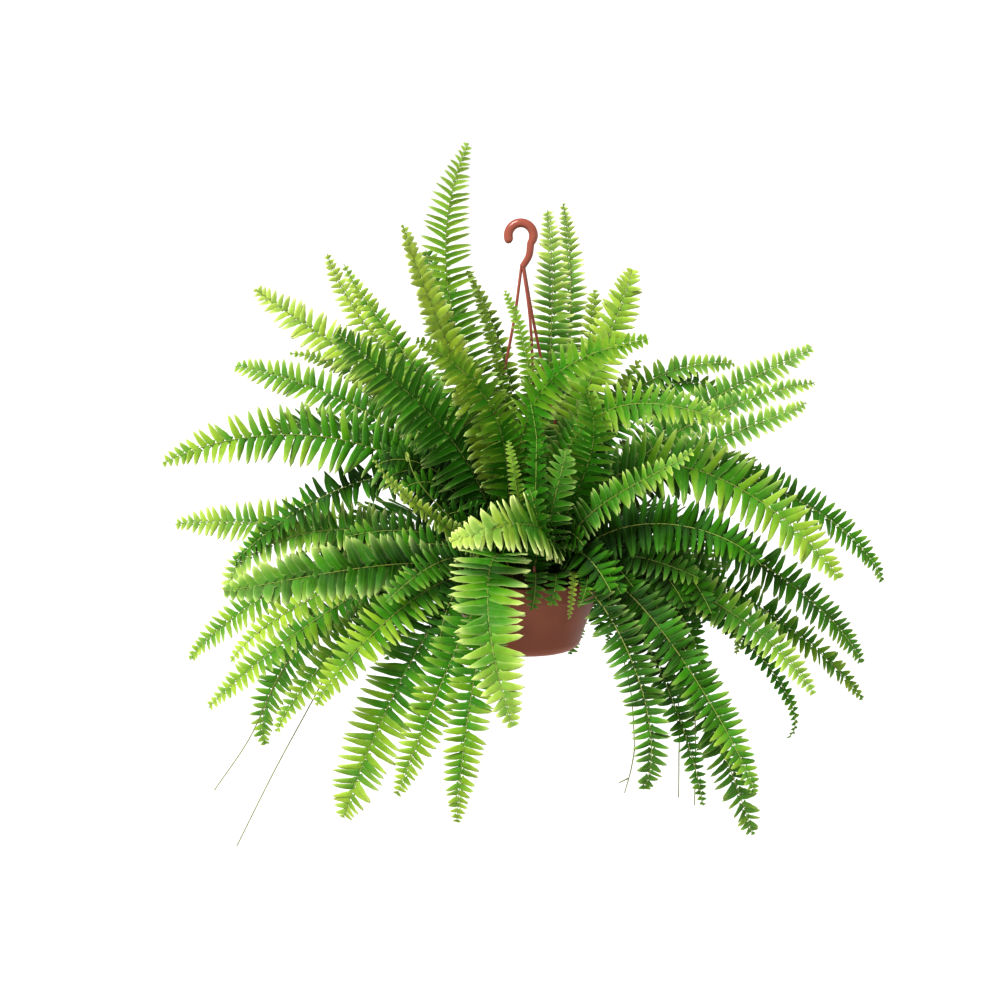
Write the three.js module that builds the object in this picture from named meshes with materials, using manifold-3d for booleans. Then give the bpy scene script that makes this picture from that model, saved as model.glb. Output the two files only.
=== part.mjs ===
// A fern in a hanging pot: a moulded pot, the soil in it, a hook with three strands, and the fronds.
// Millimetres, +Z up. The origin is where the hook bears on its rail, and the strand at the front
// stands on the -Y side.
import * as THREE from "three";
import { mergeVertices } from "three/addons/utils/BufferGeometryUtils.js";
import Module from "manifold-3d";

const wasm = await Module();
wasm.setup();

// Driving dimensions
const POT_X = 6; // the pot hangs this far to the right of the hook
const RIM_Z = -388;
const RIM_RADIUS = 85;
const RIM_BAND = 20; // height of the thicker band under the rim
const POT_RADIUS = 80; // just under the band
const FOOT_RADIUS = 63;
const POT_HEIGHT = 83;
const CORNER = 14; // the round from the wall to the base
const WALL = 1.8;
const DRAIN_RADIUS = 5;
const DRAIN_CIRCLE = 38;
const DRAINS = 6;
const POT_SIDES = 36;

const SOIL_Z = -398;
const GAP = 0.3; // clearance where two pieces touch

const ROD = 10; // thickness of the hook
const HOOK_RADIUS = 13.8; // centre line of the hook's bow
const HOOK_MOUTH = 216; // degrees, where the hook's free end is
const KNOT_Z = -44; // where stem and strands meet
const STRAND = 3.2;
const CLIP = { width: 8, leg: 12, thick: 2 };
// Each strand: where on the rim it is clipped, in degrees, and the point through which it bows
const STRANDS = [
  { azimuth: -84, bend: [11, -10, -110] },
  { azimuth: 33, bend: [15, 8, -108] },
  { azimuth: 152, bend: [-9, 5, -112] },
];

const STEM_WIDTH = 2;
const STEM_THICK = 1.8;
const ROOT_DEPTH = 12;
const ROOT_SPACING = 7.5; // stems stand at least this far apart
const ROOT_RING = 62; // a level frond's stem stands this far from the middle
const ROOT_INNER = 10; // and an upright one's
const ROOT_LIMIT = 68;
const LEAST_RISE = 60; // height of the handle that stands a stem up
const STAND = 0.75; // shares of the way to the bend, up and outwards
const LEAN = 0.33;
const BLADE_START = 0.2; // part of a frond's length that is bare stem
const LEAFLET_PITCH = 25;
const LEAFLET_SWEEP = 20; // degrees forward from square to the rib
const LEAFLET_KEEL = 10; // degrees that a leaflet rises from the blade
const BLADE_THICK = 0.6; // at a leaflet's tip
const TAPER = 0.45; // share of its thickness that a stem loses on the way to its tip
const CLEAR = 0.4; // leaflets keep this far from their neighbours
const TIP_TAPER = 0.42; // how slowly the leaflets shorten towards a frond's tip, less being blunter
const SHARES = [1, 0.85, 0.7, 0.5, 0.3]; // of a leaflet's reach, where it needs shortening
const BENDS = [0, 12, -12, 24, -24, 36, -36, 50, -50, 65, -65, 80]; // degrees, gentlest first

// Each frond: a point half-way along its rib and its tip, from the middle of the soil's surface,
// the reach of its longest leaflet, and face, the angle of the blade's upper side from straight up
// (0) towards the front (90). root is given where a stem doesn't stand in line with its frond,
// rise where it stands up further than the others before it arches, and taper where the tip is
// blunter or more pointed than the others.
const FRONDS = {
  top: [
    { mid: [-77, -15, 280], tip: [-63, -10, 490], reach: 42, face: 80, taper: 0.5 },
    { mid: [-66, -50, 225], tip: [-132, -90, 405], reach: 30, face: 35 },
    { mid: [-15, 25, 205], tip: [-65, 15, 350], reach: 16, face: 60 },
    { mid: [26, 35, 235], tip: [24, 50, 416], reach: 32, face: 85 },
    { mid: [44, 90, 225], tip: [43, 115, 420], reach: 26, face: 85 },
    { mid: [68, 20, 215], tip: [118, 30, 350], reach: 33, face: 60, taper: 0.25 },
    { mid: [10, -65, 215], tip: [130, -105, 285], reach: 34, face: 60, root: [-12, -18] },
  ],
  right: [
    { mid: [145, 55, 210], tip: [235, 85, 176], reach: 28, face: 60 },
    { mid: [190, 40, 191], tip: [325, 60, 262], reach: 27, face: 60, taper: 0.3 },
    { mid: [190, -20, 187], tip: [320, 0, 227], reach: 21, face: 55, taper: 0.3 },
    { mid: [180, -45, 156], tip: [306, -35, 209], reach: 23, face: 60, taper: 0.3 },
    { mid: [75, -90, 200], tip: [210, -135, 200], reach: 34, face: 65 },
    { mid: [250, 20, 115], tip: [407, 40, -6], reach: 30, face: 60, rise: 240 },
    { mid: [155, -75, 145], tip: [335, -125, 30], reach: 45, face: 65 },
    { mid: [230, 30, 37], tip: [390, 60, -106], reach: 32, face: 60, rise: 145 },
    { mid: [230, 85, -19], tip: [400, 110, -162], reach: 28, face: 50, rise: 80 },
    { mid: [187, -55, 1], tip: [314, -90, -106], reach: 29, face: 60 },
    { mid: [160, -110, -50], tip: [245, -150, -200], reach: 30, face: 65, rise: 90 },
    { mid: [162, -25, -62], tip: [255, -40, -280], reach: 32, face: 65, rise: 110, taper: 0.28 },
    { mid: [104, -146, -38], tip: [124, -172, -190], reach: 27, face: 70, taper: 0.28 },
    { mid: [126, -70, -42], tip: [195, -90, -232], reach: 20, face: 60, rise: 70 },
    { mid: [228, 15, -47], tip: [302, 30, -187], reach: 15, face: 50, rise: 80 },
    { mid: [140, -100, 85], tip: [250, -130, 45], reach: 36, face: 75 },
    { mid: [90, -115, 115], tip: [175, -165, 175], reach: 22, face: 65 },
  ],
  front: [
    { mid: [5, -140, 90], tip: [-80, -210, 85], reach: 40, face: 70, root: [40, -36] },
    { mid: [-40, -165, 45], tip: [-15, -250, -100], reach: 44, face: 30 },
    { mid: [-95, -75, 190], tip: [-200, -140, 295], reach: 48, face: 65 },
    { mid: [-30, -95, 190], tip: [-115, -170, 290], reach: 30, face: 65, root: [-22, -30] },
    { mid: [60, -80, 130], tip: [60, -150, 235], reach: 34, face: 90 },
    { mid: [-80, -120, 80], tip: [-160, -200, 170], reach: 12, face: 60 },
  ],
  left: [
    { mid: [-195, -30, 165], tip: [-397, -60, 145], reach: 45, face: 70, taper: 0.5 },
    { mid: [-225, 40, 56], tip: [-400, 50, 59], reach: 38, face: 60 },
    { mid: [-180, 30, 190], tip: [-330, 55, 240], reach: 34, face: 60, taper: 0.35 },
    { mid: [-152, 65, 214], tip: [-308, 95, 324], reach: 35, face: 55, root: [-20, 24], taper: 0.3 },
    { mid: [-124, 90, 207], tip: [-229, 130, 363], reach: 27, face: 60, root: [-16, 20] },
    { mid: [-110, 35, 220], tip: [-205, 60, 355], reach: 22, face: 60 },
    { mid: [-150, 100, 200], tip: [-275, 150, 245], reach: 24, face: 50 },
    { mid: [-165, -110, 40], tip: [-320, -170, 25], reach: 40, face: 65 },
    { mid: [-145, -20, 125], tip: [-325, -40, 30], reach: 32, face: 50 },
    { mid: [-240, 20, 13], tip: [-384, 35, -96], reach: 32, face: 55, rise: 120 },
    { mid: [-225, -25, -30], tip: [-355, -35, -135], reach: 28, face: 55, rise: 75 },
    { mid: [-192, -65, 14], tip: [-322, -100, -68], reach: 25, face: 50 },
    { mid: [-210, 25, -30], tip: [-300, 30, -195], reach: 30, face: 60, root: [-56, 22], rise: 75,
      taper: 0.3 },
    { mid: [-175, -50, -30], tip: [-275, -80, -150], reach: 26, face: 60 },
    { mid: [-138, -130, -5], tip: [-222, -178, -96], reach: 33, face: 60 },
    { mid: [-106, -120, -30], tip: [-198, -140, -230], reach: 40, face: 65, taper: 0.3 },
    { mid: [-66, -140, -22], tip: [-139, -160, -200], reach: 30, face: 65 },
    { mid: [-45, -150, -20], tip: [-75, -175, -225], reach: 30, face: 65 },
  ],
  back: [
    { mid: [-190, 90, 160], tip: [-300, 190, 130], reach: 36, face: -40 },
    { mid: [-120, 150, 180], tip: [-190, 290, 165], reach: 40, face: -50 },
    { mid: [35, 190, 190], tip: [40, 350, 160], reach: 42, face: -55 },
    { mid: [115, 170, 170], tip: [190, 300, 120], reach: 40, face: -50 },
    { mid: [190, 150, 118], tip: [285, 235, 50], reach: 36, face: -40, root: [34, 38] },
    { mid: [-150, 130, 60], tip: [-250, 230, -60], reach: 38, face: -50 },
    { mid: [-40, 170, 60], tip: [-80, 280, -120], reach: 40, face: -60 },
    { mid: [45, 160, 50], tip: [60, 260, -140], reach: 38, face: -60 },
    { mid: [150, 150, 50], tip: [240, 240, -80], reach: 36, face: -50 },
  ],
};

const radians = THREE.MathUtils.degToRad;
const vector = (x, y, z) => new THREE.Vector3(x, y, z);

// Solids, joined and cut

function solid(geometry) {
  const bare = geometry.index ? geometry.toNonIndexed() : geometry.clone();
  bare.deleteAttribute("normal");
  bare.deleteAttribute("uv");
  const merged = mergeVertices(bare, 1e-4);
  return new wasm.Manifold(
    new wasm.Mesh({
      numProp: 3,
      vertProperties: merged.attributes.position.array,
      triVerts: new Uint32Array(merged.index.array),
    }),
  );
}

function geometryOf(manifold) {
  const mesh = manifold.getMesh();
  const geometry = new THREE.BufferGeometry();
  geometry.setAttribute("position", new THREE.BufferAttribute(mesh.vertProperties, mesh.numProp));
  geometry.setIndex(new THREE.BufferAttribute(mesh.triVerts, 1));
  geometry.computeVertexNormals();
  return geometry;
}

const join = (geometries) => geometryOf(geometries.map(solid).reduce((a, b) => a.add(b)));

const cut = (geometry, tools) =>
  geometryOf(tools.map(solid).reduce((body, tool) => body.subtract(tool), solid(geometry)));

// A lathe turns about Y, and the object's upright axis is Z.
function turned(profile, sides) {
  const points = profile.map(([r, z]) => new THREE.Vector2(r, z));
  return new THREE.LatheGeometry(points, sides).rotateX(Math.PI / 2);
}

// A round bar of even thickness along a curve
function bar(curve, thickness, sides, steps) {
  const section = new THREE.Shape(
    Array.from({ length: sides }, (_, i) => {
      const angle = (2 * Math.PI * i) / sides;
      return new THREE.Vector2(Math.cos(angle), Math.sin(angle)).multiplyScalar(thickness / 2);
    }),
  );
  return new THREE.ExtrudeGeometry(section, { steps, extrudePath: curve, bevelEnabled: false });
}

// The pot

const BASE_Z = RIM_Z - POT_HEIGHT;

// The outside from the middle of the base up to the rim, drawn in by inset
function potOutline(inset) {
  const radius = FOOT_RADIUS - inset;
  const floor = BASE_Z + inset;
  const corner = [90, 60, 30, 0].map((angle) => [
    radius - CORNER * (1 - Math.cos(radians(angle))),
    floor + CORNER * (1 - Math.sin(radians(angle))),
  ]);
  return [[0, floor], ...corner, [POT_RADIUS - inset, RIM_Z - RIM_BAND]];
}

function makePot() {
  const lip = 1;
  const outside = potOutline(0);
  const inside = potOutline(WALL).reverse();
  const profile = [
    ...outside,
    [RIM_RADIUS - 3 * lip, RIM_Z - RIM_BAND],
    [RIM_RADIUS, RIM_Z - lip],
    [RIM_RADIUS - lip, RIM_Z],
    [RIM_RADIUS - lip - WALL, RIM_Z],
    ...inside,
  ];
  const drains = Array.from({ length: DRAINS }, (_, i) => {
    const angle = (2 * Math.PI * i) / DRAINS;
    const drain = new THREE.CylinderGeometry(DRAIN_RADIUS, DRAIN_RADIUS, 6 * WALL, 10);
    return drain
      .rotateX(Math.PI / 2)
      .translate(DRAIN_CIRCLE * Math.cos(angle), DRAIN_CIRCLE * Math.sin(angle), BASE_Z);
  });
  return cut(turned(profile, POT_SIDES), drains);
}

// The soil, with a square hole for each stem

function makeSoil(roots) {
  const clear = WALL + GAP;
  const profile = [
    ...potOutline(clear),
    [POT_RADIUS - clear + 1, SOIL_Z - 1],
    [POT_RADIUS * 0.6, SOIL_Z],
    [0, SOIL_Z],
  ];
  const wide = STEM_WIDTH + 2 * GAP;
  const thick = STEM_THICK + 2 * GAP;
  const holes = roots.map((root) => {
    const hole = new THREE.BoxGeometry(thick, wide, 2 * (ROOT_DEPTH + GAP));
    return hole.rotateZ(root.azimuth).translate(root.x, root.y, SOIL_Z);
  });
  return cut(turned(profile, POT_SIDES), holes);
}

// The hanger: hook, stem, knot, three strands and their clips, one moulding

// The hook's bow from its free end over the top, then its stem down to the knot
function hookCurve() {
  const bow = [];
  for (let angle = HOOK_MOUTH; angle > -40; angle -= 24) {
    const a = radians(angle);
    bow.push(vector(HOOK_RADIUS * Math.cos(a), 0, HOOK_RADIUS * Math.sin(a) - HOOK_RADIUS + ROD / 2));
  }
  return new THREE.CatmullRomCurve3([...bow, vector(9, 0, KNOT_Z + 13), vector(2, 0, KNOT_Z + 1)]);
}

// A strand bows out from under the knot to the rim's outer face.
function strandCurve({ azimuth, bend }) {
  const out = vector(Math.cos(radians(azimuth)), Math.sin(radians(azimuth)), 0);
  const top = vector(2, 0, KNOT_Z + 4).addScaledVector(out, 1);
  const foot = vector(POT_X, 0, RIM_Z + GAP + CLIP.thick / 2).addScaledVector(out, RIM_RADIUS - 1);
  return new THREE.CatmullRomCurve3([top, vector(...bend), foot], false, "chordal");
}

// A clip is an upside-down U over the rim, 0.3 mm clear of it all round.
function makeClip({ azimuth }) {
  const { width, leg, thick } = CLIP;
  const inner = RIM_RADIUS - 4.5 - GAP;
  const outer = RIM_RADIUS + GAP;
  const top = RIM_Z + GAP;
  const u = [
    [inner - thick, top + thick],
    [inner - thick, top - 0.6 * leg],
    [inner, top - 0.6 * leg],
    [inner, top],
    [outer, top],
    [outer, top - leg],
    [outer + thick, top - leg],
    [outer + thick, top + thick],
  ];
  const outline = new THREE.Shape(u.map(([r, z]) => new THREE.Vector2(r, z)));
  const clip = new THREE.ExtrudeGeometry(outline, { depth: width, bevelEnabled: false });
  return clip
    .translate(0, 0, -width / 2)
    .rotateX(Math.PI / 2)
    .rotateZ(radians(azimuth))
    .translate(POT_X, 0, 0);
}

function makeHanger() {
  const hook = bar(hookCurve(), ROD, 10, 26);
  const knot = new THREE.CylinderGeometry(ROD * 0.5, ROD * 0.35, 9, 10).rotateX(Math.PI / 2);
  const strands = STRANDS.map((strand) => bar(strandCurve(strand), STRAND, 6, 8));
  const clips = STRANDS.map(makeClip);
  return join([hook, knot.translate(2, 0, KNOT_Z + 1), ...strands, ...clips]);
}

// Cells: convex pieces of the solids, to keep the fronds clear of each other.
// Each has its corners and the directions along which it may stand apart from another.

function cell(corners, normals, edges) {
  const centre = vector(0, 0, 0);
  corners.forEach((corner) => centre.addScaledVector(corner, 1 / corners.length));
  const radius = Math.max(...corners.map((corner) => corner.distanceTo(centre)));
  return { corners, normals, edges, centre, radius };
}

function gapAlong(axis, a, b) {
  const along = (corner) => corner.dot(axis);
  const spanA = a.corners.map(along);
  const spanB = b.corners.map(along);
  return Math.max(Math.min(...spanB) - Math.max(...spanA), Math.min(...spanA) - Math.max(...spanB));
}

function apart(a, b) {
  if (a.centre.distanceTo(b.centre) > a.radius + b.radius + CLEAR) return true;
  const crossed = a.edges.flatMap((e) => b.edges.map((f) => e.clone().cross(f)));
  return [...a.normals, ...b.normals, ...crossed].some(
    (axis) => axis.lengthSq() > 1e-9 && gapAlong(axis, a, b) > CLEAR * axis.length(),
  );
}

// What the fronds keep clear of: the soil and pot, the rim, the strands and the hook

function boxCell(at, frame, halves) {
  const corners = [];
  for (const i of [-1, 1])
    for (const j of [-1, 1])
      for (const k of [-1, 1]) {
        const corner = at.clone().addScaledVector(frame[0], i * halves[0]);
        corner.addScaledVector(frame[1], j * halves[1]).addScaledVector(frame[2], k * halves[2]);
        corners.push(corner);
      }
  return cell(corners, frame, frame);
}

function potCells() {
  const up = vector(0, 0, 1);
  const sides = 20;
  const around = Array.from({ length: sides }, (_, i) => (2 * i * Math.PI) / sides);
  const radial = (angle) => vector(Math.cos(angle), Math.sin(angle), 0);
  const ring = (r, z) => around.map((a) => radial(a).multiplyScalar(r).add(vector(POT_X, 0, z)));
  const body = [...ring(RIM_RADIUS, SOIL_Z), ...ring(FOOT_RADIUS + 3, BASE_Z)];
  const band = [3.5, 14, RIM_BAND / 2 + 0.5];
  const rim = around.map(radial).map((out) => {
    const at = vector(POT_X, 0, RIM_Z - RIM_BAND / 2).addScaledVector(out, RIM_RADIUS - 2);
    return boxCell(at, [out, up.clone().cross(out), up], band);
  });
  return [cell(body, [up, ...around.map(radial)], [up]), ...rim];
}

function hangerCells() {
  const up = vector(0, 0, 1);
  const frame = [vector(1, 0, 0), vector(0, 1, 0), up];
  const cells = [boxCell(vector(0, 0, KNOT_Z / 2), frame, [2 * ROD, ROD, -KNOT_Z / 2 + ROD + 2])];
  const parts = 8;
  for (const strand of STRANDS) {
    const points = strandCurve(strand).getSpacedPoints(parts);
    for (let i = 0; i < parts; i++) {
      const along = points[i + 1].clone().sub(points[i]);
      const half = along.length() / 2 + 2;
      along.normalize();
      const side = up.clone().cross(along).normalize();
      const at = points[i].clone().add(points[i + 1]).divideScalar(2);
      const lie = [along, side, along.clone().cross(side)];
      cells.push(boxCell(at, lie, [half, STRAND / 2 + 1, STRAND / 2 + 1]));
    }
  }
  return cells;
}

// Fronds

const CROWN = vector(POT_X, 0, SOIL_Z);

// A steep frond stands near the middle of the pot and a low one near the rim, and neighbours are
// pushed apart until every stem has its own place.
function rootPlaces(fronds) {
  const roots = fronds.map(({ mid, root }) => {
    if (root) return new THREE.Vector2(...root);
    const away = Math.hypot(mid[0], mid[1]);
    const steep = Math.max(0, Math.atan2(mid[2], away) / (Math.PI / 2));
    const ring = THREE.MathUtils.lerp(ROOT_RING, ROOT_INNER, steep);
    return new THREE.Vector2(mid[0], mid[1]).setLength(ring);
  });
  for (let round = 0; round < 60; round++)
    for (let i = 0; i < roots.length; i++)
      for (let j = 0; j < i; j++) {
        const apartBy = roots[i].clone().sub(roots[j]);
        const short = ROOT_SPACING - apartBy.length();
        if (short <= 0) continue;
        apartBy.setLength(short / 2);
        roots[i].add(apartBy).clampLength(0, ROOT_LIMIT);
        roots[j].sub(apartBy).clampLength(0, ROOT_LIMIT);
      }
  return roots;
}

// A stem stands up out of the soil and then arches through the middle of its rib to the tip.
function ribCurve(root, mid, tip, leastRise) {
  const bend = mid.clone().multiplyScalar(2).addScaledVector(root.clone().add(tip), -0.5);
  const away = bend.clone().sub(root);
  const rise = Math.max(leastRise, STAND * away.z);
  const first = root.clone().addScaledVector(away.setZ(0), LEAN).add(vector(0, 0, rise));
  const second = mid.clone().multiplyScalar(8).sub(root).sub(tip).divideScalar(3).sub(first);
  return new THREE.CubicBezierCurve3(root, first, second, tip);
}

// How far the leaflets reach, from the start (0) to the end (1) of the blade
const reachAt = (b, taper) => Math.min(1, 0.65 + 1.8 * b) * (1 - b * b) ** taper;

// The frames of a frond's rings. along runs up the rib and up is the blade's upper side. The blade
// is turned about its rib, over the bare stem, until it faces the way that the table says.
function ringFrames(curve, heading, stops, face) {
  let up = heading.clone().negate();
  const frames = stops.map((stop) => {
    const along = curve.getTangentAt(stop);
    up = up.clone().addScaledVector(along, -up.dot(along)).normalize();
    return { stop, at: curve.getPointAt(stop), along, up };
  });
  const middle = frames.find((frame) => frame.stop > (1 + BLADE_START) / 2);
  const wanted = vector(0, -Math.sin(radians(face)), Math.cos(radians(face)));
  wanted.addScaledVector(middle.along, -wanted.dot(middle.along));
  const cross = middle.up.clone().cross(wanted).dot(middle.along);
  let turn = Math.atan2(cross, middle.up.dot(wanted));
  if (Math.abs(turn) > Math.PI / 2) turn -= Math.sign(turn) * Math.PI;
  for (const frame of frames) {
    frame.up.applyAxisAngle(frame.along, turn * Math.min(1, frame.stop / BLADE_START));
    frame.side = frame.along.clone().cross(frame.up);
  }
  return frames;
}

// Corners of a ring: left top, right top, right bottom, left bottom
function ringCorners({ at, side, up, stop }) {
  const taper = 1 - TAPER * stop;
  const w = (STEM_WIDTH / 2) * taper;
  const h = Math.max(BLADE_THICK / 2, (STEM_THICK / 2) * taper);
  const corner = (i, j) => at.clone().addScaledVector(side, i * w).addScaledVector(up, j * h);
  return [corner(-1, 1), corner(1, 1), corner(1, -1), corner(-1, -1)];
}

function planFrond({ name, mid, tip, reach, face, rise, taper }, rootPlace) {
  const root = vector(rootPlace.x, rootPlace.y, 3).add(CROWN);
  const middle = vector(...mid).add(CROWN);
  const curve = ribCurve(root, middle, vector(...tip).add(CROWN), rise ?? LEAST_RISE);
  const length = curve.getLength();
  const pairs = Math.max(6, Math.round(((1 - BLADE_START) * length) / LEAFLET_PITCH));
  const last = 1 - (0.5 * LEAFLET_PITCH) / length;
  const step = (last - BLADE_START) / pairs;
  const stops = [0, BLADE_START / 3, (2 * BLADE_START) / 3];
  for (let i = 0; i <= pairs; i++) stops.push(BLADE_START + i * step);
  const heading = vector(mid[0] - rootPlace.x, mid[1] - rootPlace.y, 0).normalize();
  const frames = ringFrames(curve, heading, stops, face);
  const foot = { at: vector(root.x, root.y, SOIL_Z - ROOT_DEPTH), along: vector(0, 0, 1) };
  foot.up = heading.clone().negate();
  foot.side = foot.along.clone().cross(foot.up);
  foot.stop = 0;
  frames.unshift(foot);
  const rings = frames.map(ringCorners);
  const cells = [];
  for (let k = 1; k < rings.length - 1; k++) {
    const frame = [frames[k].along, frames[k].side, frames[k].up];
    cells.push(cell([...rings[k], ...rings[k + 1]], frame, frame));
  }
  const reachOf = (i) => reach * reachAt((i + 0.5) / pairs, taper ?? TIP_TAPER);
  return { name, curve, frames, rings, cells, pairs, reachOf, heading, root, tips: new Map() };
}

// A leaflet is a flat wedge on the side of the rib between two notches, ending in a short edge.
function shapeLeaflet(frond, k, side, reach, lift) {
  const [a, b] = side > 0 ? [1, 2] : [0, 3];
  const [near, far] = [frond.rings[k], frond.rings[k + 1]];
  const base = near[a].clone().add(near[b]).add(far[a]).add(far[b]).divideScalar(4);
  const along = frond.frames[k].along.clone().add(frond.frames[k + 1].along).normalize();
  const up = frond.frames[k].up.clone().add(frond.frames[k + 1].up).normalize();
  const out = along.clone().cross(up).multiplyScalar(side);
  const rise = radians(lift);
  const sweep = radians(LEAFLET_SWEEP);
  const away = out.clone().multiplyScalar(Math.cos(rise)).addScaledVector(up, Math.sin(rise));
  const thick = up.clone().multiplyScalar(Math.cos(rise)).addScaledVector(out, -Math.sin(rise));
  const tip = base.clone().addScaledVector(away, reach * Math.cos(sweep));
  tip.addScaledVector(along, reach * Math.sin(sweep));
  const top = tip.clone().addScaledVector(thick, BLADE_THICK / 2);
  const bottom = tip.clone().addScaledVector(thick, -BLADE_THICK / 2);
  const edges = [
    far[a].clone().sub(near[a]),
    top.clone().sub(near[a]),
    top.clone().sub(far[a]),
  ];
  const flat = edges[0].clone().cross(edges[1]);
  const normals = [flat, ...edges.map((edge) => edge.clone().cross(flat))];
  const corners = [near[a], near[b], far[a], far[b], top, bottom];
  return { top, bottom, cell: cell(corners, normals, edges) };
}

// The gentlest bend, then the least shortening, that clears every neighbour
function fitLeaflet(frond, k, side, reach, neighbours) {
  for (const share of SHARES)
    for (const bend of BENDS) {
      const leaflet = shapeLeaflet(frond, k, side, share * reach, LEAFLET_KEEL + bend);
      if (neighbours.every((other) => apart(leaflet.cell, other))) return leaflet;
    }
  return null;
}

function growLeaflets(fronds, fixed) {
  const leaflets = fronds.map(() => []);
  fronds.forEach((frond, f) => {
    const others = [...fixed];
    fronds.forEach((other, o) => {
      if (o !== f) others.push(...other.cells, ...leaflets[o]);
    });
    const first = frond.rings.length - 1 - frond.pairs;
    for (let i = 0; i < frond.pairs; i++)
      for (const side of [-1, 1]) {
        const k = first + i;
        const reach = frond.reachOf(i);
        const base = frond.frames[k].at;
        const near = others.filter((o) => o.centre.distanceTo(base) < o.radius + reach + 30);
        const leaflet = fitLeaflet(frond, k, side, reach, near);
        if (!leaflet) continue;
        frond.tips.set(`${k},${side}`, leaflet);
        leaflets[f].push(leaflet.cell);
      }
  });
}

// One closed skin: the rib's top and bottom, its sides or the leaflets on them, the foot and the tip
function frondGeometry({ curve, frames, rings, tips }) {
  const positions = [];
  const face = (flip, ...corners) => {
    const order = flip ? [...corners].reverse() : corners;
    for (let i = 1; i < order.length - 1; i++)
      for (const corner of [order[0], order[i], order[i + 1]]) positions.push(...corner.toArray());
  };
  face(false, rings[0][0], rings[0][3], rings[0][2], rings[0][1]);
  for (let k = 0; k < rings.length - 1; k++) {
    const [near, far] = [rings[k], rings[k + 1]];
    face(false, near[0], near[1], far[1], far[0]);
    face(false, near[3], far[3], far[2], near[2]);
    for (const side of [-1, 1]) {
      const [a, b] = side > 0 ? [1, 2] : [0, 3];
      const leaflet = tips.get(`${k},${side}`);
      const flip = side < 0;
      if (leaflet) {
        face(flip, near[a], leaflet.top, far[a]);
        face(flip, near[b], far[b], leaflet.bottom);
        face(flip, near[a], near[b], leaflet.bottom, leaflet.top);
        face(flip, far[a], leaflet.top, leaflet.bottom, far[b]);
      } else face(flip, near[a], near[b], far[b], far[a]);
    }
  }
  const last = rings[rings.length - 1];
  const end = frames[frames.length - 1];
  const top = curve.getPointAt(1).addScaledVector(end.up, BLADE_THICK / 2);
  const bottom = curve.getPointAt(1).addScaledVector(end.up, -BLADE_THICK / 2);
  face(false, last[0], last[1], top);
  face(false, last[3], bottom, last[2]);
  face(false, last[1], last[2], bottom, top);
  face(false, last[0], top, bottom, last[3]);
  const geometry = new THREE.BufferGeometry();
  geometry.setAttribute("position", new THREE.Float32BufferAttribute(positions, 3));
  return mergeVertices(geometry, 1e-4);
}

// Assembly

const FINISHES = {
  pot: { color: 0x80503f, roughness: 0.6 },
  hanger: { color: 0x8c4a3c, roughness: 0.35 },
  soil: { color: 0x2e221b, roughness: 0.95 },
  frond: { color: 0x578f34, roughness: 0.5 },
};

function piece(name, geometry, finish) {
  geometry.computeVertexNormals();
  const material = new THREE.MeshStandardMaterial({ metalness: 0, ...FINISHES[finish] });
  const mesh = new THREE.Mesh(geometry, material);
  mesh.name = name;
  return mesh;
}

function planFronds() {
  const rows = Object.entries(FRONDS).flatMap(([zone, fronds]) =>
    fronds.map((row, i) => ({ name: `frond_${zone}_${i + 1}`, ...row })),
  );
  const roots = rootPlaces(rows);
  return rows.map((row, i) => planFrond(row, roots[i]));
}

const fronds = planFronds();
growLeaflets(fronds, [...potCells(), ...hangerCells()]);

const plant = new THREE.Group();
plant.add(...fronds.map((frond) => piece(frond.name, frondGeometry(frond), "frond")));

const holder = new THREE.Group();
holder.position.x = POT_X;
const roots = fronds.map(({ root, heading }) => ({
  x: root.x - POT_X,
  y: root.y,
  azimuth: Math.atan2(heading.y, heading.x),
}));
holder.add(piece("pot", makePot(), "pot"), piece("soil", makeSoil(roots), "soil"));

const fern = new THREE.Group();
fern.add(plant, holder, piece("hanger", makeHanger(), "hanger"));

export default fern;
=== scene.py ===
"""A fern in a hanging pot: fronds of crinkled leaflets, the moulded pot and hanger, and the compost.

The solids are the frame. Each frond's rib and the reach and lift of its leaflets are taken from its
solid, and a finer frond grows along them. Lengths are metres; MM turns millimetres into them.
"""

import math
import random

import bmesh
import bpy
import numpy as np
from mathutils import Matrix, Vector, noise


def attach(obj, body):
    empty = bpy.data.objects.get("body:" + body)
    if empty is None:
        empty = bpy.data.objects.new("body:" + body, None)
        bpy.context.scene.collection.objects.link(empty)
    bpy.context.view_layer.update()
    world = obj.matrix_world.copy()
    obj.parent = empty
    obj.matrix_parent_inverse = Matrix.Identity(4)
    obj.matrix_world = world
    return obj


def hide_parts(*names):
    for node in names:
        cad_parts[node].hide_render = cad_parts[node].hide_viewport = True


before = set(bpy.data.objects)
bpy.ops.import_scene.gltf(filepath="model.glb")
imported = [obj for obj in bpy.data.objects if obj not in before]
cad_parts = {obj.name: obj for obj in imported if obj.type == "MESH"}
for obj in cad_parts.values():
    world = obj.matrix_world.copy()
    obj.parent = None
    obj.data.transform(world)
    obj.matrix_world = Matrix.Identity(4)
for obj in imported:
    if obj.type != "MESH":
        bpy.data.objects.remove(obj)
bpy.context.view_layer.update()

MM = 0.001

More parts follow.
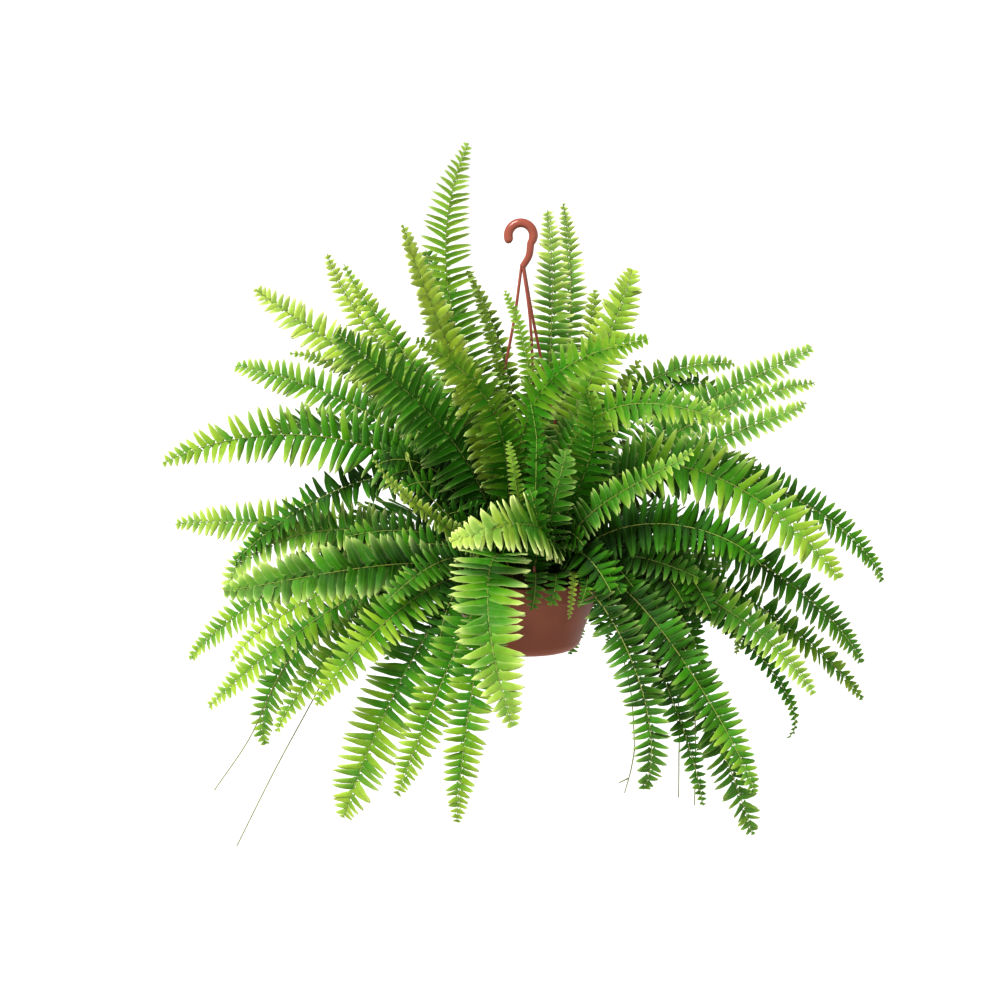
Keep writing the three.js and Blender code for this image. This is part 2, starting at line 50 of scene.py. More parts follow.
# The pot, its hanger and the compost, from the part's own named values
POT_X = 6 * MM
RIM_Z = -388 * MM
RIM_RADIUS = 85 * MM
RIM_BAND = 20 * MM
POT_RADIUS = 80 * MM
FOOT_RADIUS = 63 * MM
POT_HEIGHT = 83 * MM
CORNER = 14 * MM
WALL = 1.8 * MM
LIP = 1.2 * MM  # the height of the rim's rounding
FILLET = 0.8 * MM
BASE_FLAT = 20 * MM  # the radius of the base's middle ring of faces
DRAIN_RADIUS = 5 * MM
DRAIN_CIRCLE = 38 * MM
DRAINS = 6
SOIL_Z = -398 * MM
SOIL_DIP = 1.4 * MM  # how far under that the compost's mean level lies
SOIL_ROUGH = 1.1 * MM
SOIL_RINGS = 26
GAP = 0.3 * MM
ROD = 10 * MM
HOOK_RADIUS = 13.8 * MM
HOOK_MOUTH = 216
KNOT_Z = -44 * MM
STRAND = 3.2 * MM
# Each strand: where on the rim it is clipped, in degrees, and the point through which it bows
STRANDS = ((-84, (11, -10, -110)), (33, (15, 8, -108)), (152, (-9, 5, -112)))
HOOK_FOOT = -36  # where the bow ends and the stem begins, in degrees, as HOOK_MOUTH
STEM_TAPER = 0.3  # how much thinner the stem is at the knot
TAPER_FROM = 0.8  # the share of the hook's length after which it thins
CLIP_WIDTH = 8 * MM
CLIP_LEG = 12 * MM
CLIP_INNER_LEG = 7.2 * MM
CLIP_THICK = 2 * MM
CLIP_REACH = 4.5 * MM  # from the rim's outside to the inner leg
CLIP_EDGE = 0.35 * MM

# Studio: how strongly the walls, the ceiling and the key light shine, the floor, whose own grey
# looks white under them, and the camera, which stands where the photograph's did
WALLS = 1.02
CEILING = 0.95
KEY = 5.0
KEY_SIZE = 30  # degrees across, like a large soft box
KEY_FROM = (-0.6, -0.7, 1.0)
FLOOR_Z = -1600 * MM
FLOOR_REACH = 60
CAMERA_AT = (-22.9 * MM, -2599.6 * MM, 108.7 * MM)
CAMERA_TILT = 9  # degrees downwards
SENSOR = 36  # this and LENS in the camera's own millimetres
LENS = 84.74
GAMMA = 0.8  # the photograph's deep shadows

# Leaflets
PITCH = 9.5 * MM  # from one leaflet to the next on the same side, at the blade's widest
PITCHES = {"left_1": 11.6, "left_8": 11.6, "front_1": 8.4, "front_2": 10.8, "right_7": 11.0,
           "top_4": 8.8, "top_5": 8.8, "top_6": 8.4, "right_13": 9.0}  # where it differs, in mm
TIP_SHARE = 0.5  # of the pitch, at the frond's tip
PINNA_SHARE = 0.93  # a leaflet's width as a share of the pitch
BROAD = {"front_1": 1.6, "left_8": 1.3, "front_2": 1.2, "right_7": 0.95, "top_2": 1.2, "top_1": 0.75,
         "left_1": 0.85, "top_6": 1.1}  # the fronds where that share differs
SWEEP = 14  # degrees forward from square to the rib
SWEEPS = {"left_8": 30, "front_1": 24, "right_7": 22, "left_1": 20}  # where it differs
TIP_SWEEP = 38  # at the frond's tip
TIP_FROM = 0.6  # the share of the blade from which the leaflets lean on towards that
SHAPES = 5  # different leaflets for each side
ROLL = 16  # how far a leaflet is turned about its own length at most, in degrees
WOBBLE = 6  # and about the other two directions
REACH_SPREAD, WIDTH_SPREAD, PITCH_SPREAD = 0.05, 0.08, 0.06  # how far these vary, as shares
LEAN_SPREAD, LIFT_SPREAD = 4, 6  # and these, in degrees
UNRULY = ("right_9", "right_12", "right_13", "right_14", "left_9", "top_3")  # turned twice as far

# Stems, ribs and what grows on them, by radius
GIRTH = 1.2 * MM
TIP_GIRTH = 0.5 * MM
SCALES = 26  # rusty scales on each stem
SCALE_LENGTH = (1.8 * MM, 3.2 * MM)
SCALE_GIRTH = (0.2 * MM, 0.05 * MM)

# How each frond looks: tone from -1, dark, to 1, pale, its dark end partly older tissue and partly
# painted shade on fronds that lie in the plant's shadow, and youth from 0 to 1, the share of
# yellow-green at the leaflets' ends and towards the frond's tip.
LOOKS = {
    "top_1": (0.55, 0.8), "top_2": (0.95, 0.6), "top_3": (0.4, 0.6), "top_4": (0.05, 0.9),
    "top_5": (0.1, 0.9), "top_6": (0.5, 0.45), "top_7": (0.3, 0.3),
    "right_1": (-0.2, 0.2), "right_2": (-0.1, 0.6), "right_3": (-0.15, 0.6), "right_4": (-0.15, 0.6),
    "right_5": (0.05, 0.35), "right_6": (-0.35, 0.15), "right_7": (0.3, 0.35), "right_8": (-0.4, 0.2),
    "right_9": (-0.1, 0.3), "right_10": (0.1, 0.5), "right_11": (-0.2, 0.2),
    "right_12": (-0.35, 0.35), "right_13": (-0.45, 0.3), "right_14": (-0.5, 0.2),
    "right_15": (-0.3, 0.1), "right_16": (-0.5, 0.05), "right_17": (0.0, 0.4),
    "front_1": (0.4, 0.8), "front_2": (0.1, 0.6), "front_3": (-0.4, 0.4), "front_4": (0.4, 0.25),
    "front_5": (0.0, 0.2), "front_6": (0.7, 0.6),
    "left_1": (0.2, 0.35), "left_2": (0.25, 0.6), "left_3": (0.0, 0.4), "left_4": (0.55, 0.8),
    "left_5": (0.65, 0.75), "left_6": (0.2, 0.4), "left_7": (0.2, 0.4), "left_8": (-0.35, 0.45),
    "left_9": (-0.6, 0.1), "left_10": (0.1, 0.4), "left_11": (0.35, 0.4), "left_12": (0.6, 0.4),
    "left_13": (-0.1, 0.3), "left_14": (0.2, 0.4), "left_15": (0.4, 0.25), "left_16": (0.25, 0.4),
    "left_17": (0.3, 0.3), "left_18": (0.25, 0.35),
    "back_1": (0.1, 0.3), "back_2": (0.2, 0.3), "back_3": (0.3, 0.4), "back_4": (0.0, 0.3),
    "back_5": (0.2, 0.3), "back_6": (-0.1, 0.3), "back_7": (0.1, 0.3), "back_8": (0.0, 0.3),
    "back_9": (0.2, 0.4),
}

# Young and broken fronds that the photograph shows and the solids leave out, in millimetres from
# the middle of the compost: root, half-way, tip, reach, face, tone and youth. face is the angle of
# the blade's upper side from straight up (0) towards the front (90).
SPRIGS = (
    ((-10, 20), (-20, 5, 190), (-63, 10, 349), 11, 70, 0.6, 0.6),
    ((20, 40), (55, 50, 170), (77, 60, 325), 24, 75, 0.4, 0.5),
    ((-5, -10), (5, -30, 200), (-24, -20, 330), 14, 70, 0.5, 0.6),
    ((35, 25), (112, 50, 202), (238, 80, 240), 25, 65, -0.1, 0.4),
    ((-20, 10), (-58, 30, 215), (-112, 40, 372), 34, 60, -0.3, 0.3),
    ((30, 20), (80, 30, 175), (128, 40, 248), 18, 60, 0.2, 0.4),
    ((0, -50), (-6, -95, 90), (-20, -100, 176), 11, 75, 0.6, 0.5),
    ((16, -52), (24, -94, 85), (42, -104, 165), 28, 80, -0.3, 0.5),
    ((4, -52), (12, -104, 62), (2, -124, 128), 20, 75, -0.4, 0.2),
    ((60, 10), (175, 0, 10), (238, 0, -82), 13, 60, 0.0, 0.4),
    ((62, -30), (84, -62, 18), (89, -66, -55), 8, 60, -0.6, 0.0),
    ((64, -20), (92, -58, 14), (109, -60, -78), 9, 60, -0.6, 0.0),
    ((52, -44), (52, -78, 26), (46, -94, -22), 6, 60, 0.8, 0.6),
    ((58, -36), (66, -76, 24), (56, -98, -8), 10, 60, -0.4, 0.1),
    ((28, -52), (32, -86, 26), (26, -104, -4), 17, 55, -0.3, 0.2),
    ((-30, -50), (-60, -96, 66), (-98, -120, 92), 16, 60, 0.3, 0.4),
    ((-50, -20), (-92, -44, 52), (-190, -80, 40), 26, 60, -0.3, 0.2),
    ((-44, -36), (-82, -84, 44), (-150, -146, 8), 24, 60, -0.4, 0.2),
    ((-56, 0), (-110, -20, 60), (-200, -40, 60), 28, 60, -0.5, 0.2),
    ((60, -22), (102, -52, 42), (188, -84, 22), 26, 60, -0.4, 0.2),
    ((-52, -24), (-104, -74, 18), (-150, -104, -64), 24, 55, -0.3, 0.2),
    ((-40, -40), (-76, -98, 10), (-92, -122, -78), 22, 60, -0.4, 0.1),
    ((-30, -48), (-50, -104, 16), (-54, -124, -50), 20, 65, -0.5, 0.1),
    ((-54, -10), (-124, -50, 14), (-192, -70, -80), 26, 55, -0.2, 0.3),
    ((-58, -6), (-218, -30, 66), (-331, -40, -8), 28, 60, 0.1, 0.8),
    ((54, -20), (112, -60, 16), (168, -80, -70), 24, 55, -0.4, 0.1),
    ((60, -8), (128, -30, 18), (196, -50, -90), 24, 55, -0.5, 0.1),
    # The next two stand in front of a strand, low in the middle; their very dark tone is partly painted
    # shade.
    ((6, -54), (8, -98, 80), (10, -112, 180), 18, 75, -0.7, 0.1),
    ((14, -50), (16, -88, 110), (4, -96, 215), 16, 75, -0.6, 0.1),
    ((8, -56), (10, -92, 28), (6, -108, -8), 15, 55, -0.3, 0.2),
)

# Croziers, the coiled ends of new fronds: root, half-way and where the coil is
CROZIERS = (
    ((-32, -40), (-84, -92, 92), (-126, -118, 160)), ((-20, -8), (-34, -20, 60), (-40, -24, 112)),
    ((24, 12), (34, 14, 58), (46, 20, 96)), ((4, 30), (2, 38, 70), (-8, 48, 120)),
    ((38, -22), (54, -34, 50), (66, -40, 84)), ((-48, 20), (-66, 26, 44), (-80, 30, 74)),
)

# Runners, thin as thread, that hang out of the pot: places in millimetres from the compost's middle
RUNNERS = (
    ((-62, -20, 2), (-150, -40, 40), (-205, -55, -60), (-231, -60, -110), (-279, -70, -198),
     (-322, -70, -284)),
    ((-60, 4, 2), (-180, -10, 30), (-280, -20, -110), (-312, -20, -175), (-352, -22, -234)),
    ((66, -24, 2), (86, -50, 22), (102, -70, -52), (115, -75, -107), (120, -75, -174)),
    ((120, -75, -170), (116, -75, -195), (109, -75, -222)), ((113, -75, -205), (103, -75, -210)),
    ((66, -12, 2), (130, -40, 20), (168, -58, -120), (170, -60, -189), (170, -61, -231)),
    ((68, -6, 2), (140, -36, 24), (184, -58, -110), (188, -60, -166), (188, -61, -240)),
)

# Short dark fronds that fill the middle: how many, and from least to most how steeply they rise
# in degrees, their length and reach in millimetres, and their tone, whose darkness is partly painted
# shade in the middle of the plant
INNER = 88
INNER_PIECES = 4
INNER_LIFT = (-46, 70)
INNER_LENGTH = (165, 235)
INNER_FRONT = (110, 150)  # their length in front of the pot
INNER_REACH = (22, 30)
INNER_TONE_AND_SHADE = (-1.1, -0.5)
INNER_YOUTH = 0.05
INNER_ROOTS = 52  # the radius within which they root
INNER_CLEAR = 28  # how steeply they rise at least in front of the pot
GOLDEN_ANGLE = 137.5
GOLDEN_SHARE = 0.618


# Small tools


def linear(text):
    """An sRGB hex value as linear red, green, blue and alpha."""
    parts = [int(text[i : i + 2], 16) / 255 for i in (0, 2, 4)]
    lin = [c / 12.92 if c <= 0.04045 else ((c + 0.055) / 1.055) ** 2.4 for c in parts]
    return (*lin, 1.0)


def set_inputs(tree, node, inputs):
    """Sets or links a node's inputs, each given by its name or, where names repeat, its number.
    A value that is itself a node stands for the first of its outputs that is in use."""
    for key, value in inputs.items():
        if isinstance(key, str):
            socket = next(s for s in node.inputs if s.name == key and s.enabled)
        else:
            socket = node.inputs[key]
        if isinstance(value, bpy.types.Node):
            value = next(s for s in value.outputs if s.enabled)
        if isinstance(value, bpy.types.NodeSocket):
            tree.links.new(value, socket)
        else:
            socket.default_value = value


def add(tree, kind, inputs=None, **settings):
    """Adds a node with its settings and its inputs."""
    made = tree.nodes.new(kind)
    for name, value in settings.items():
        setattr(made, name, value)
    set_inputs(tree, made, inputs or {})
    return made


def link_object(name, mesh):
    """A new object for a mesh, at the origin."""
    made = bpy.data.objects.new(name, mesh)
    bpy.context.scene.collection.objects.link(made)
    return made


def mesh_of(name, vertices, faces):
    """A smooth mesh whose faces point out of its volume."""
    mesh = bpy.data.meshes.new(name)
    mesh.from_pydata([tuple(v) for v in vertices], [], faces, shade_flat=False)
    mesh.update()
    shell = bmesh.new()
    shell.from_mesh(mesh)
    if shell.calc_volume(signed=True) < 0:
        bmesh.ops.reverse_faces(shell, faces=shell.faces)
        shell.to_mesh(mesh)
    shell.free()
    return mesh


def vary(rng, spread):
    """A factor near 1, at most spread away from it."""
    return 1 + rng.uniform(-spread, spread)


def smooth_path(points, per_span):
    """A Catmull-Rom curve through points, with per_span steps between each two."""
    points = [np.asarray(p, float) for p in points]
    ends = [2 * points[0] - points[1], *points, 2 * points[-1] - points[-2]]
    path = []
    for a, b, c, d in zip(ends, ends[1:], ends[2:], ends[3:]):
        knots = [0.0]
        for p, q in ((a, b), (b, c), (c, d)):
            knots.append(knots[-1] + max(1e-6, np.linalg.norm(q - p)) ** 0.5)
        for i in range(per_span):
            t = knots[1] + (knots[2] - knots[1]) * i / per_span
            ab = (a * (knots[1] - t) + b * (t - knots[0])) / (knots[1] - knots[0])
            bc = (b * (knots[2] - t) + c * (t - knots[1])) / (knots[2] - knots[1])
            cd = (c * (knots[3] - t) + d * (t - knots[2])) / (knots[3] - knots[2])
            near = (ab * (knots[2] - t) + bc * (t - knots[0])) / (knots[2] - knots[0])
            far = (bc * (knots[3] - t) + cd * (t - knots[1])) / (knots[3] - knots[1])
            path.append((near * (knots[2] - t) + far * (t - knots[1])) / (knots[2] - knots[1]))
    path.append(points[-1])
    return np.array(path)


def unit(v):
    """v with length 1; an array of rows is done row by row."""
    return v / np.linalg.norm(v, axis=-1, keepdims=True)


# Reading a frond's solid

SAME_POINT = 0.01 * MM
SAME_RING = 2.05 * MM  # the corners of one ring lie nearer to each other than this

def read_frond(name):
    """The rib and leaflets of a frond's solid: the places of its rings and its tip, the blade's
    upper direction at each ring, and for each leaflet its ring, side, reach and lift."""
    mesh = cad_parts[name].data
    loose = np.empty(3 * len(mesh.vertices), np.float32)
    mesh.vertices.foreach_get("co", loose)
    loose = loose.reshape(-1, 3).astype(float)
    grid = np.round(loose / SAME_POINT)
    _, first, same = np.unique(grid, axis=0, return_index=True, return_inverse=True)
    points, same = loose[first], same.reshape(-1)
    triangles = [[same[i] for i in p.vertices] for p in mesh.polygons]

    # A ring of the rib is four corners that lie close together, and a leaflet's end is two.
    close = np.linalg.norm(points[:, None] - points[None], axis=2) < SAME_RING
    group = np.full(len(points), -1)
    groups = []
    for start in range(len(points)):
        if group[start] >= 0:
            continue
        members, todo = [], [start]
        while todo:
            i = todo.pop()
            if group[i] >= 0:
                continue
            group[i] = len(groups)
            members.append(i)
            todo += [j for j in np.nonzero(close[i])[0] if group[j] < 0]
        groups.append(members)
    joined = [set() for _ in groups]
    for triangle in triangles:
        for i in triangle:
            joined[group[i]] |= {group[j] for j in triangle} - {group[i]}
    centres = np.array([points[members].mean(axis=0) for members in groups])

    # The tip is the one end that only one ring carries, and the rib is walked from there down.
    rings = [g for g, members in enumerate(groups) if len(members) == 4]
    ends = [g for g, members in enumerate(groups) if len(members) == 2]
    tip = next(g for g in ends if len(joined[g]) == 1)
    chain = list(joined[tip])
    while onward := [g for g in joined[chain[-1]] if g in rings and g not in chain]:
        chain.append(onward[0])
    chain.reverse()
    rib = centres[[*chain, tip]]

    # The side of a ring is the edge that lies along its two leaflets.
    leaflets = []
    spread = {}
    for g in ends:
        if g == tip:
            continue
        k = min(chain.index(r) for r in joined[g])
        base = (rib[k] + rib[k + 1]) / 2
        reach = centres[g] - base
        leaflets.append((k, reach))
        spread.setdefault(k, []).append(reach / np.linalg.norm(reach))
    ups = {}
    for k, both in spread.items():
        across = both[0] - both[1] if len(both) == 2 else both[0]
        corners = points[groups[chain[k]]]
        edges = sorted(corners[1:] - corners[0], key=np.linalg.norm)[:2]
        ups[k] = unit(min(edges, key=lambda e: abs(np.dot(unit(e), across))))
    order = sorted(ups)
    for before, k in zip(order, order[1:]):
        if np.dot(ups[before], ups[k]) < 0:
            ups[k] = -ups[k]
    if sum(np.dot(reach, ups[k]) for k, reach in leaflets) < 0:
        ups = {k: -up for k, up in ups.items()}

    made = []
    for k, reach in leaflets:
        along = unit(rib[k + 1] - rib[k])
        right = unit(np.cross(along, ups[k]))
        out = np.dot(reach, right)
        lift = math.atan2(np.dot(reach, ups[k]), abs(out))
        made.append((k, 1 if out > 0 else -1, float(np.linalg.norm(reach)), lift))
    return rib, ups, made


# A frond's fine points

RIB_STEPS = 10  # from one ring of the solid's rib to the next
LAST_LEAFLET = 1.2 * MM  # how near to the tip the last one may stand
ARCH = 0.2  # how much a leaflet bends, as a share of its reach

class Rib:
    """A smooth rib with the blade's upper direction, by distance from its foot."""

    def __init__(self, points, ups):
        self.path = smooth_path(points, RIB_STEPS)
        lengths = np.linalg.norm(np.diff(self.path, axis=0), axis=1)
        self.at = np.concatenate([[0], np.cumsum(lengths)])
        self.length = self.at[-1]
        self.knots = self.at[::RIB_STEPS][: len(points)]
        order = sorted(ups)
        self.up_at = np.array([self.knots[k] for k in order])
        self.up = np.array([ups[k] for k in order])

    def place(self, s):
        return np.array([np.interp(s, self.at, self.path[:, i]) for i in range(3)])

    def frame(self, s):
        along = unit(self.place(min(s + MM, self.length)) - self.place(max(s - MM, 0)))
        up = np.array([np.interp(s, self.up_at, self.up[:, i]) for i in range(3)])
        up = unit(up - along * np.dot(up, along))
        return along, up, np.cross(along, up)


def leaflet_rows(rib, blade_start, reach_of, lift_of, rng, look, widest=PITCH, broad=PINNA_SHARE,
                 lean=SWEEP):
    """The base, direction, size and looks of each fine leaflet of a frond."""
    rows = []
    longest = max(reach_of(s, 1) for s in np.linspace(blade_start, rib.length, 40))
    for side in (-1, 1):
        s = blade_start + (0.25 + 0.25 * side) * widest  # the two sides alternate
        while s < rib.length - LAST_LEAFLET:
            share = (s - blade_start) / (rib.length - blade_start)
            reach = reach_of(s, side) * vary(rng, REACH_SPREAD)
            fullness = min(1.0, reach / longest)
            along, up, right = rib.frame(s)
            sweep = lean + (TIP_SWEEP - lean) * max(0, share - TIP_FROM) / (1 - TIP_FROM)
            sweep = math.radians(sweep + rng.uniform(-LEAN_SPREAD, LEAN_SPREAD))
            lift = lift_of(s, side) + math.radians(rng.uniform(-LIFT_SPREAD, LIFT_SPREAD))
            out = right * side
            away = out * math.cos(lift) + up * math.sin(lift)
            face = up * math.cos(lift) - out * math.sin(lift)
            run = unit(away * math.cos(sweep) + along * math.sin(sweep))
            pitch = widest * (TIP_SHARE + (1 - TIP_SHARE) * fullness**0.75)
            width = pitch * broad * vary(rng, WIDTH_SPREAD)
            width = min(width, 0.85 * reach + 0.5 * MM)  # never broader than long
            shape = rng.randrange(SHAPES) + (SHAPES if side > 0 else 0)
            size = (reach, width, ARCH * reach + MM)
            rows.append((rib.place(s), run, face, size, shape, share, *look))
            s += pitch * vary(rng, PITCH_SPREAD)
    return rows


def scale_threads(rib, rng):
    """Narrow scales on the lower part of a stem, as threads."""
    threads = []
    for _ in range(SCALES):
        s = rib.length * (0.04 + 0.3 * rng.random() ** 1.5)
        along, up, right = rib.frame(s)
        turn = rng.uniform(0, 2 * math.pi)
        away = up * math.cos(turn) + right * math.sin(turn) + 0.6 * along
        end = rib.place(s) + away * rng.uniform(*SCALE_LENGTH)
        threads.append(([rib.place(s), end], SCALE_GIRTH, 0.0))
    return threads


def frond_mesh(name, fronds, threads=()):
    """Points for the node tree: each rib and thread as a line with its girth, and one loose point
    a leaflet. A thread is its points, its girth and its place in the rachis's colours."""
    lines = []
    for rib, _ in fronds:
        steps = np.linspace(0, rib.length - 0.2 * MM, max(12, int(rib.length / (5 * MM))))
        along = np.linspace(0, 1, len(steps))
        girth = GIRTH + (TIP_GIRTH - GIRTH) * along**0.8
        lines.append(([rib.place(s) for s in steps], girth, along))
    points, edges, girths, places = [], [], [], []
    for line, girth, place in [*lines, *threads]:
        first = len(points)
        points += [tuple(p) for p in line]
        edges += [(first + i, first + i + 1) for i in range(len(line) - 1)]
        girths += list(np.broadcast_to(girth, len(line)))
        places += list(np.broadcast_to(place, len(line)))
    rows = [row for _, leaflets in fronds for row in leaflets]
    mesh = bpy.data.meshes.new(name)
    mesh.from_pydata(points + [tuple(r[0]) for r in rows], edges, [])
    count, bare = len(points), len(rows)
    columns = {
        "rib": ("BOOLEAN", [True] * count + [False] * bare),
        "girth": ("FLOAT", girths + [0.0] * bare),
        "run": ("FLOAT_VECTOR", [(1, 0, 0)] * count + [tuple(r[1]) for r in rows]),
        "face": ("FLOAT_VECTOR", [(0, 0, 1)] * count + [tuple(r[2]) for r in rows]),
        "size": ("FLOAT_VECTOR", [(1, 1, 1)] * count + [tuple(r[3]) for r in rows]),
        "shape": ("INT", [0] * count + [r[4] for r in rows]),
        "place": ("FLOAT", places + [r[5] for r in rows]),
        "tone": ("FLOAT", [0.0] * count + [r[6] for r in rows]),
        "youth": ("FLOAT", [0.0] * count + [r[7] for r in rows]),
    }
    for key, (kind, values) in columns.items():
        layer = mesh.attributes.new(key, kind, "POINT")
        field = "vector" if kind == "FLOAT_VECTOR" else "value"
        layer.data.foreach_set(field, np.array(values).reshape(-1))
    return mesh


# Fronds that only the finer model has

CROWN = np.array([POT_X, 0, SOIL_Z])
ROOT_DEPTH = 3 * MM
STAND = 22 * MM  # the least height to which a stem aims before it arches over
BARE = 0.22  # the share of its length that is stalk without leaflets
COIL_ANGLE = 3.4 * math.pi
COIL_RADIUS, COIL_EYE = 4.6 * MM, 0.9 * MM  # their sum outside, and the second in the middle

def arching_rib(root, mid, tip, face):
    """A rib that stands up out of the compost and arches through mid to its tip."""
    root, mid, tip = (CROWN + np.array(p) * MM for p in ((*root, 0), mid, tip))
    root[2] -= ROOT_DEPTH
    away = 2 * mid - (root + tip) / 2 - root
    first = root + 0.33 * away
    first[2] = root[2] + max(STAND, 0.75 * away[2])
    second = (8 * mid - root - tip) / 3 - first
    t = np.linspace(0, 1, 15)[:, None]
    path = (1 - t) ** 3 * root + 3 * (1 - t) ** 2 * t * first + 3 * (1 - t) * t**2 * second + t**3 * tip
    alongs = unit(np.gradient(path, axis=0))
    up = unit(np.array([root[0] - mid[0], root[1] - mid[1], 1e-4]))
    ups = []
    for along in alongs:
        up = unit(up - along * np.dot(up, along))
        ups.append(up)
    half = len(ups) // 2
    wanted = np.array([0, -math.sin(math.radians(face)), math.cos(math.radians(face))])
    wanted -= alongs[half] * np.dot(wanted, alongs[half])
    turn = math.atan2(np.dot(np.cross(ups[half], wanted), alongs[half]), np.dot(ups[half], wanted))
    if abs(turn) > math.pi / 2:
        turn -= math.copysign(math.pi, turn)
    turned = {k: u * math.cos(turn) + np.cross(a, u) * math.sin(turn)
              for k, (u, a) in enumerate(zip(ups, alongs))}
    return Rib(path, turned)


def sprig_rows(rib, reach, rng, look):
    """Leaflets of a frond that has no solid: they shorten towards its tip as the others' do."""
    start = BARE * rib.length

    def reach_of(s, _):
        b = (s - start) / (rib.length - start)
        return reach * MM * min(1, 0.65 + 1.8 * b) * max(0.02, 1 - b * b) ** 0.42

    def lift_of(s, _):
        return math.radians(8)

    widest = min(PITCH, max(0.5 * reach, 5.5) * MM)
    return leaflet_rows(rib, start, reach_of, lift_of, rng, look, widest)


def inner_rows():
    """The short dark fronds of the middle, set round the pot as the seeds of a sunflower are; their
    darkness is partly painted shade.
    """
    rng = random.Random(7)
    for i in range(INNER):
        azimuth = math.radians(GOLDEN_ANGLE * i)
        x, y = math.cos(azimuth), math.sin(azimuth)
        lift = np.interp((GOLDEN_SHARE * i + 0.3) % 1, (0, 1), INNER_LIFT)
        long = rng.uniform(*INNER_LENGTH)
        if abs(x) < 0.6:  # in front of the pot and behind it they stay clear of it
            lift = max(lift, INNER_CLEAR if y < 0 else 0)
        if y < -0.5:
            long = rng.uniform(*INNER_FRONT)
        a = math.radians(lift)
        out, up = long * math.cos(a), long * math.sin(a)
        root = (x * INNER_ROOTS * math.cos(a), y * INNER_ROOTS * math.cos(a))
        mid = (x * out * 0.6, y * out * 0.6, up * 0.55 + 0.3 * out)
        tip = (x * out, y * out, up)
        face = 60 if y < 0.4 else -45
        yield root, mid, tip, rng.uniform(*INNER_REACH), face, rng.uniform(*INNER_TONE_AND_SHADE), INNER_YOUTH


def coil_thread(rib):
    """The coil at the end of a new frond, wound towards its upper side."""
    along, up, _ = rib.frame(rib.length)
    turns = np.linspace(0, COIL_ANGLE, 34)
    radius = COIL_RADIUS * (1 - turns / COIL_ANGLE) ** 0.8 + COIL_EYE
    centre = rib.place(rib.length) + up * radius[0]
    points = [centre + r * (along * math.sin(t) - up * math.cos(t)) for r, t in zip(radius, turns)]
    return points, np.linspace(1.25, 0.7, len(points)) * MM, 0.85


# The leaflet's forms

# Half of a leaflet's width along its length: broad where it sits on the rib, and slowly narrower
# to its tip. Both are shares of the whole.
OUTLINE = (
    (0.0, 0.45), (0.04, 0.49), (0.15, 0.47), (0.38, 0.43), (0.62, 0.36), (0.82, 0.24), (0.95, 0.09),
)
EAR = 0.16  # the lobe at the base, on the side towards the frond's tip
CRIMP = 0.02  # scallops of the margin, alternating between stations
HEEL = 0.07  # how far the base's rear corner reaches back, so that a swept leaflet meets the rib
ACROSS = (-1, -0.55, 0, 0.55, 1)  # the corners over a leaflet's width, on its upper side
FOLD = 0.07  # how far it rises beside the midrib
RIPPLE = 0.07
VEINS = 18  # forked veins along a leaflet


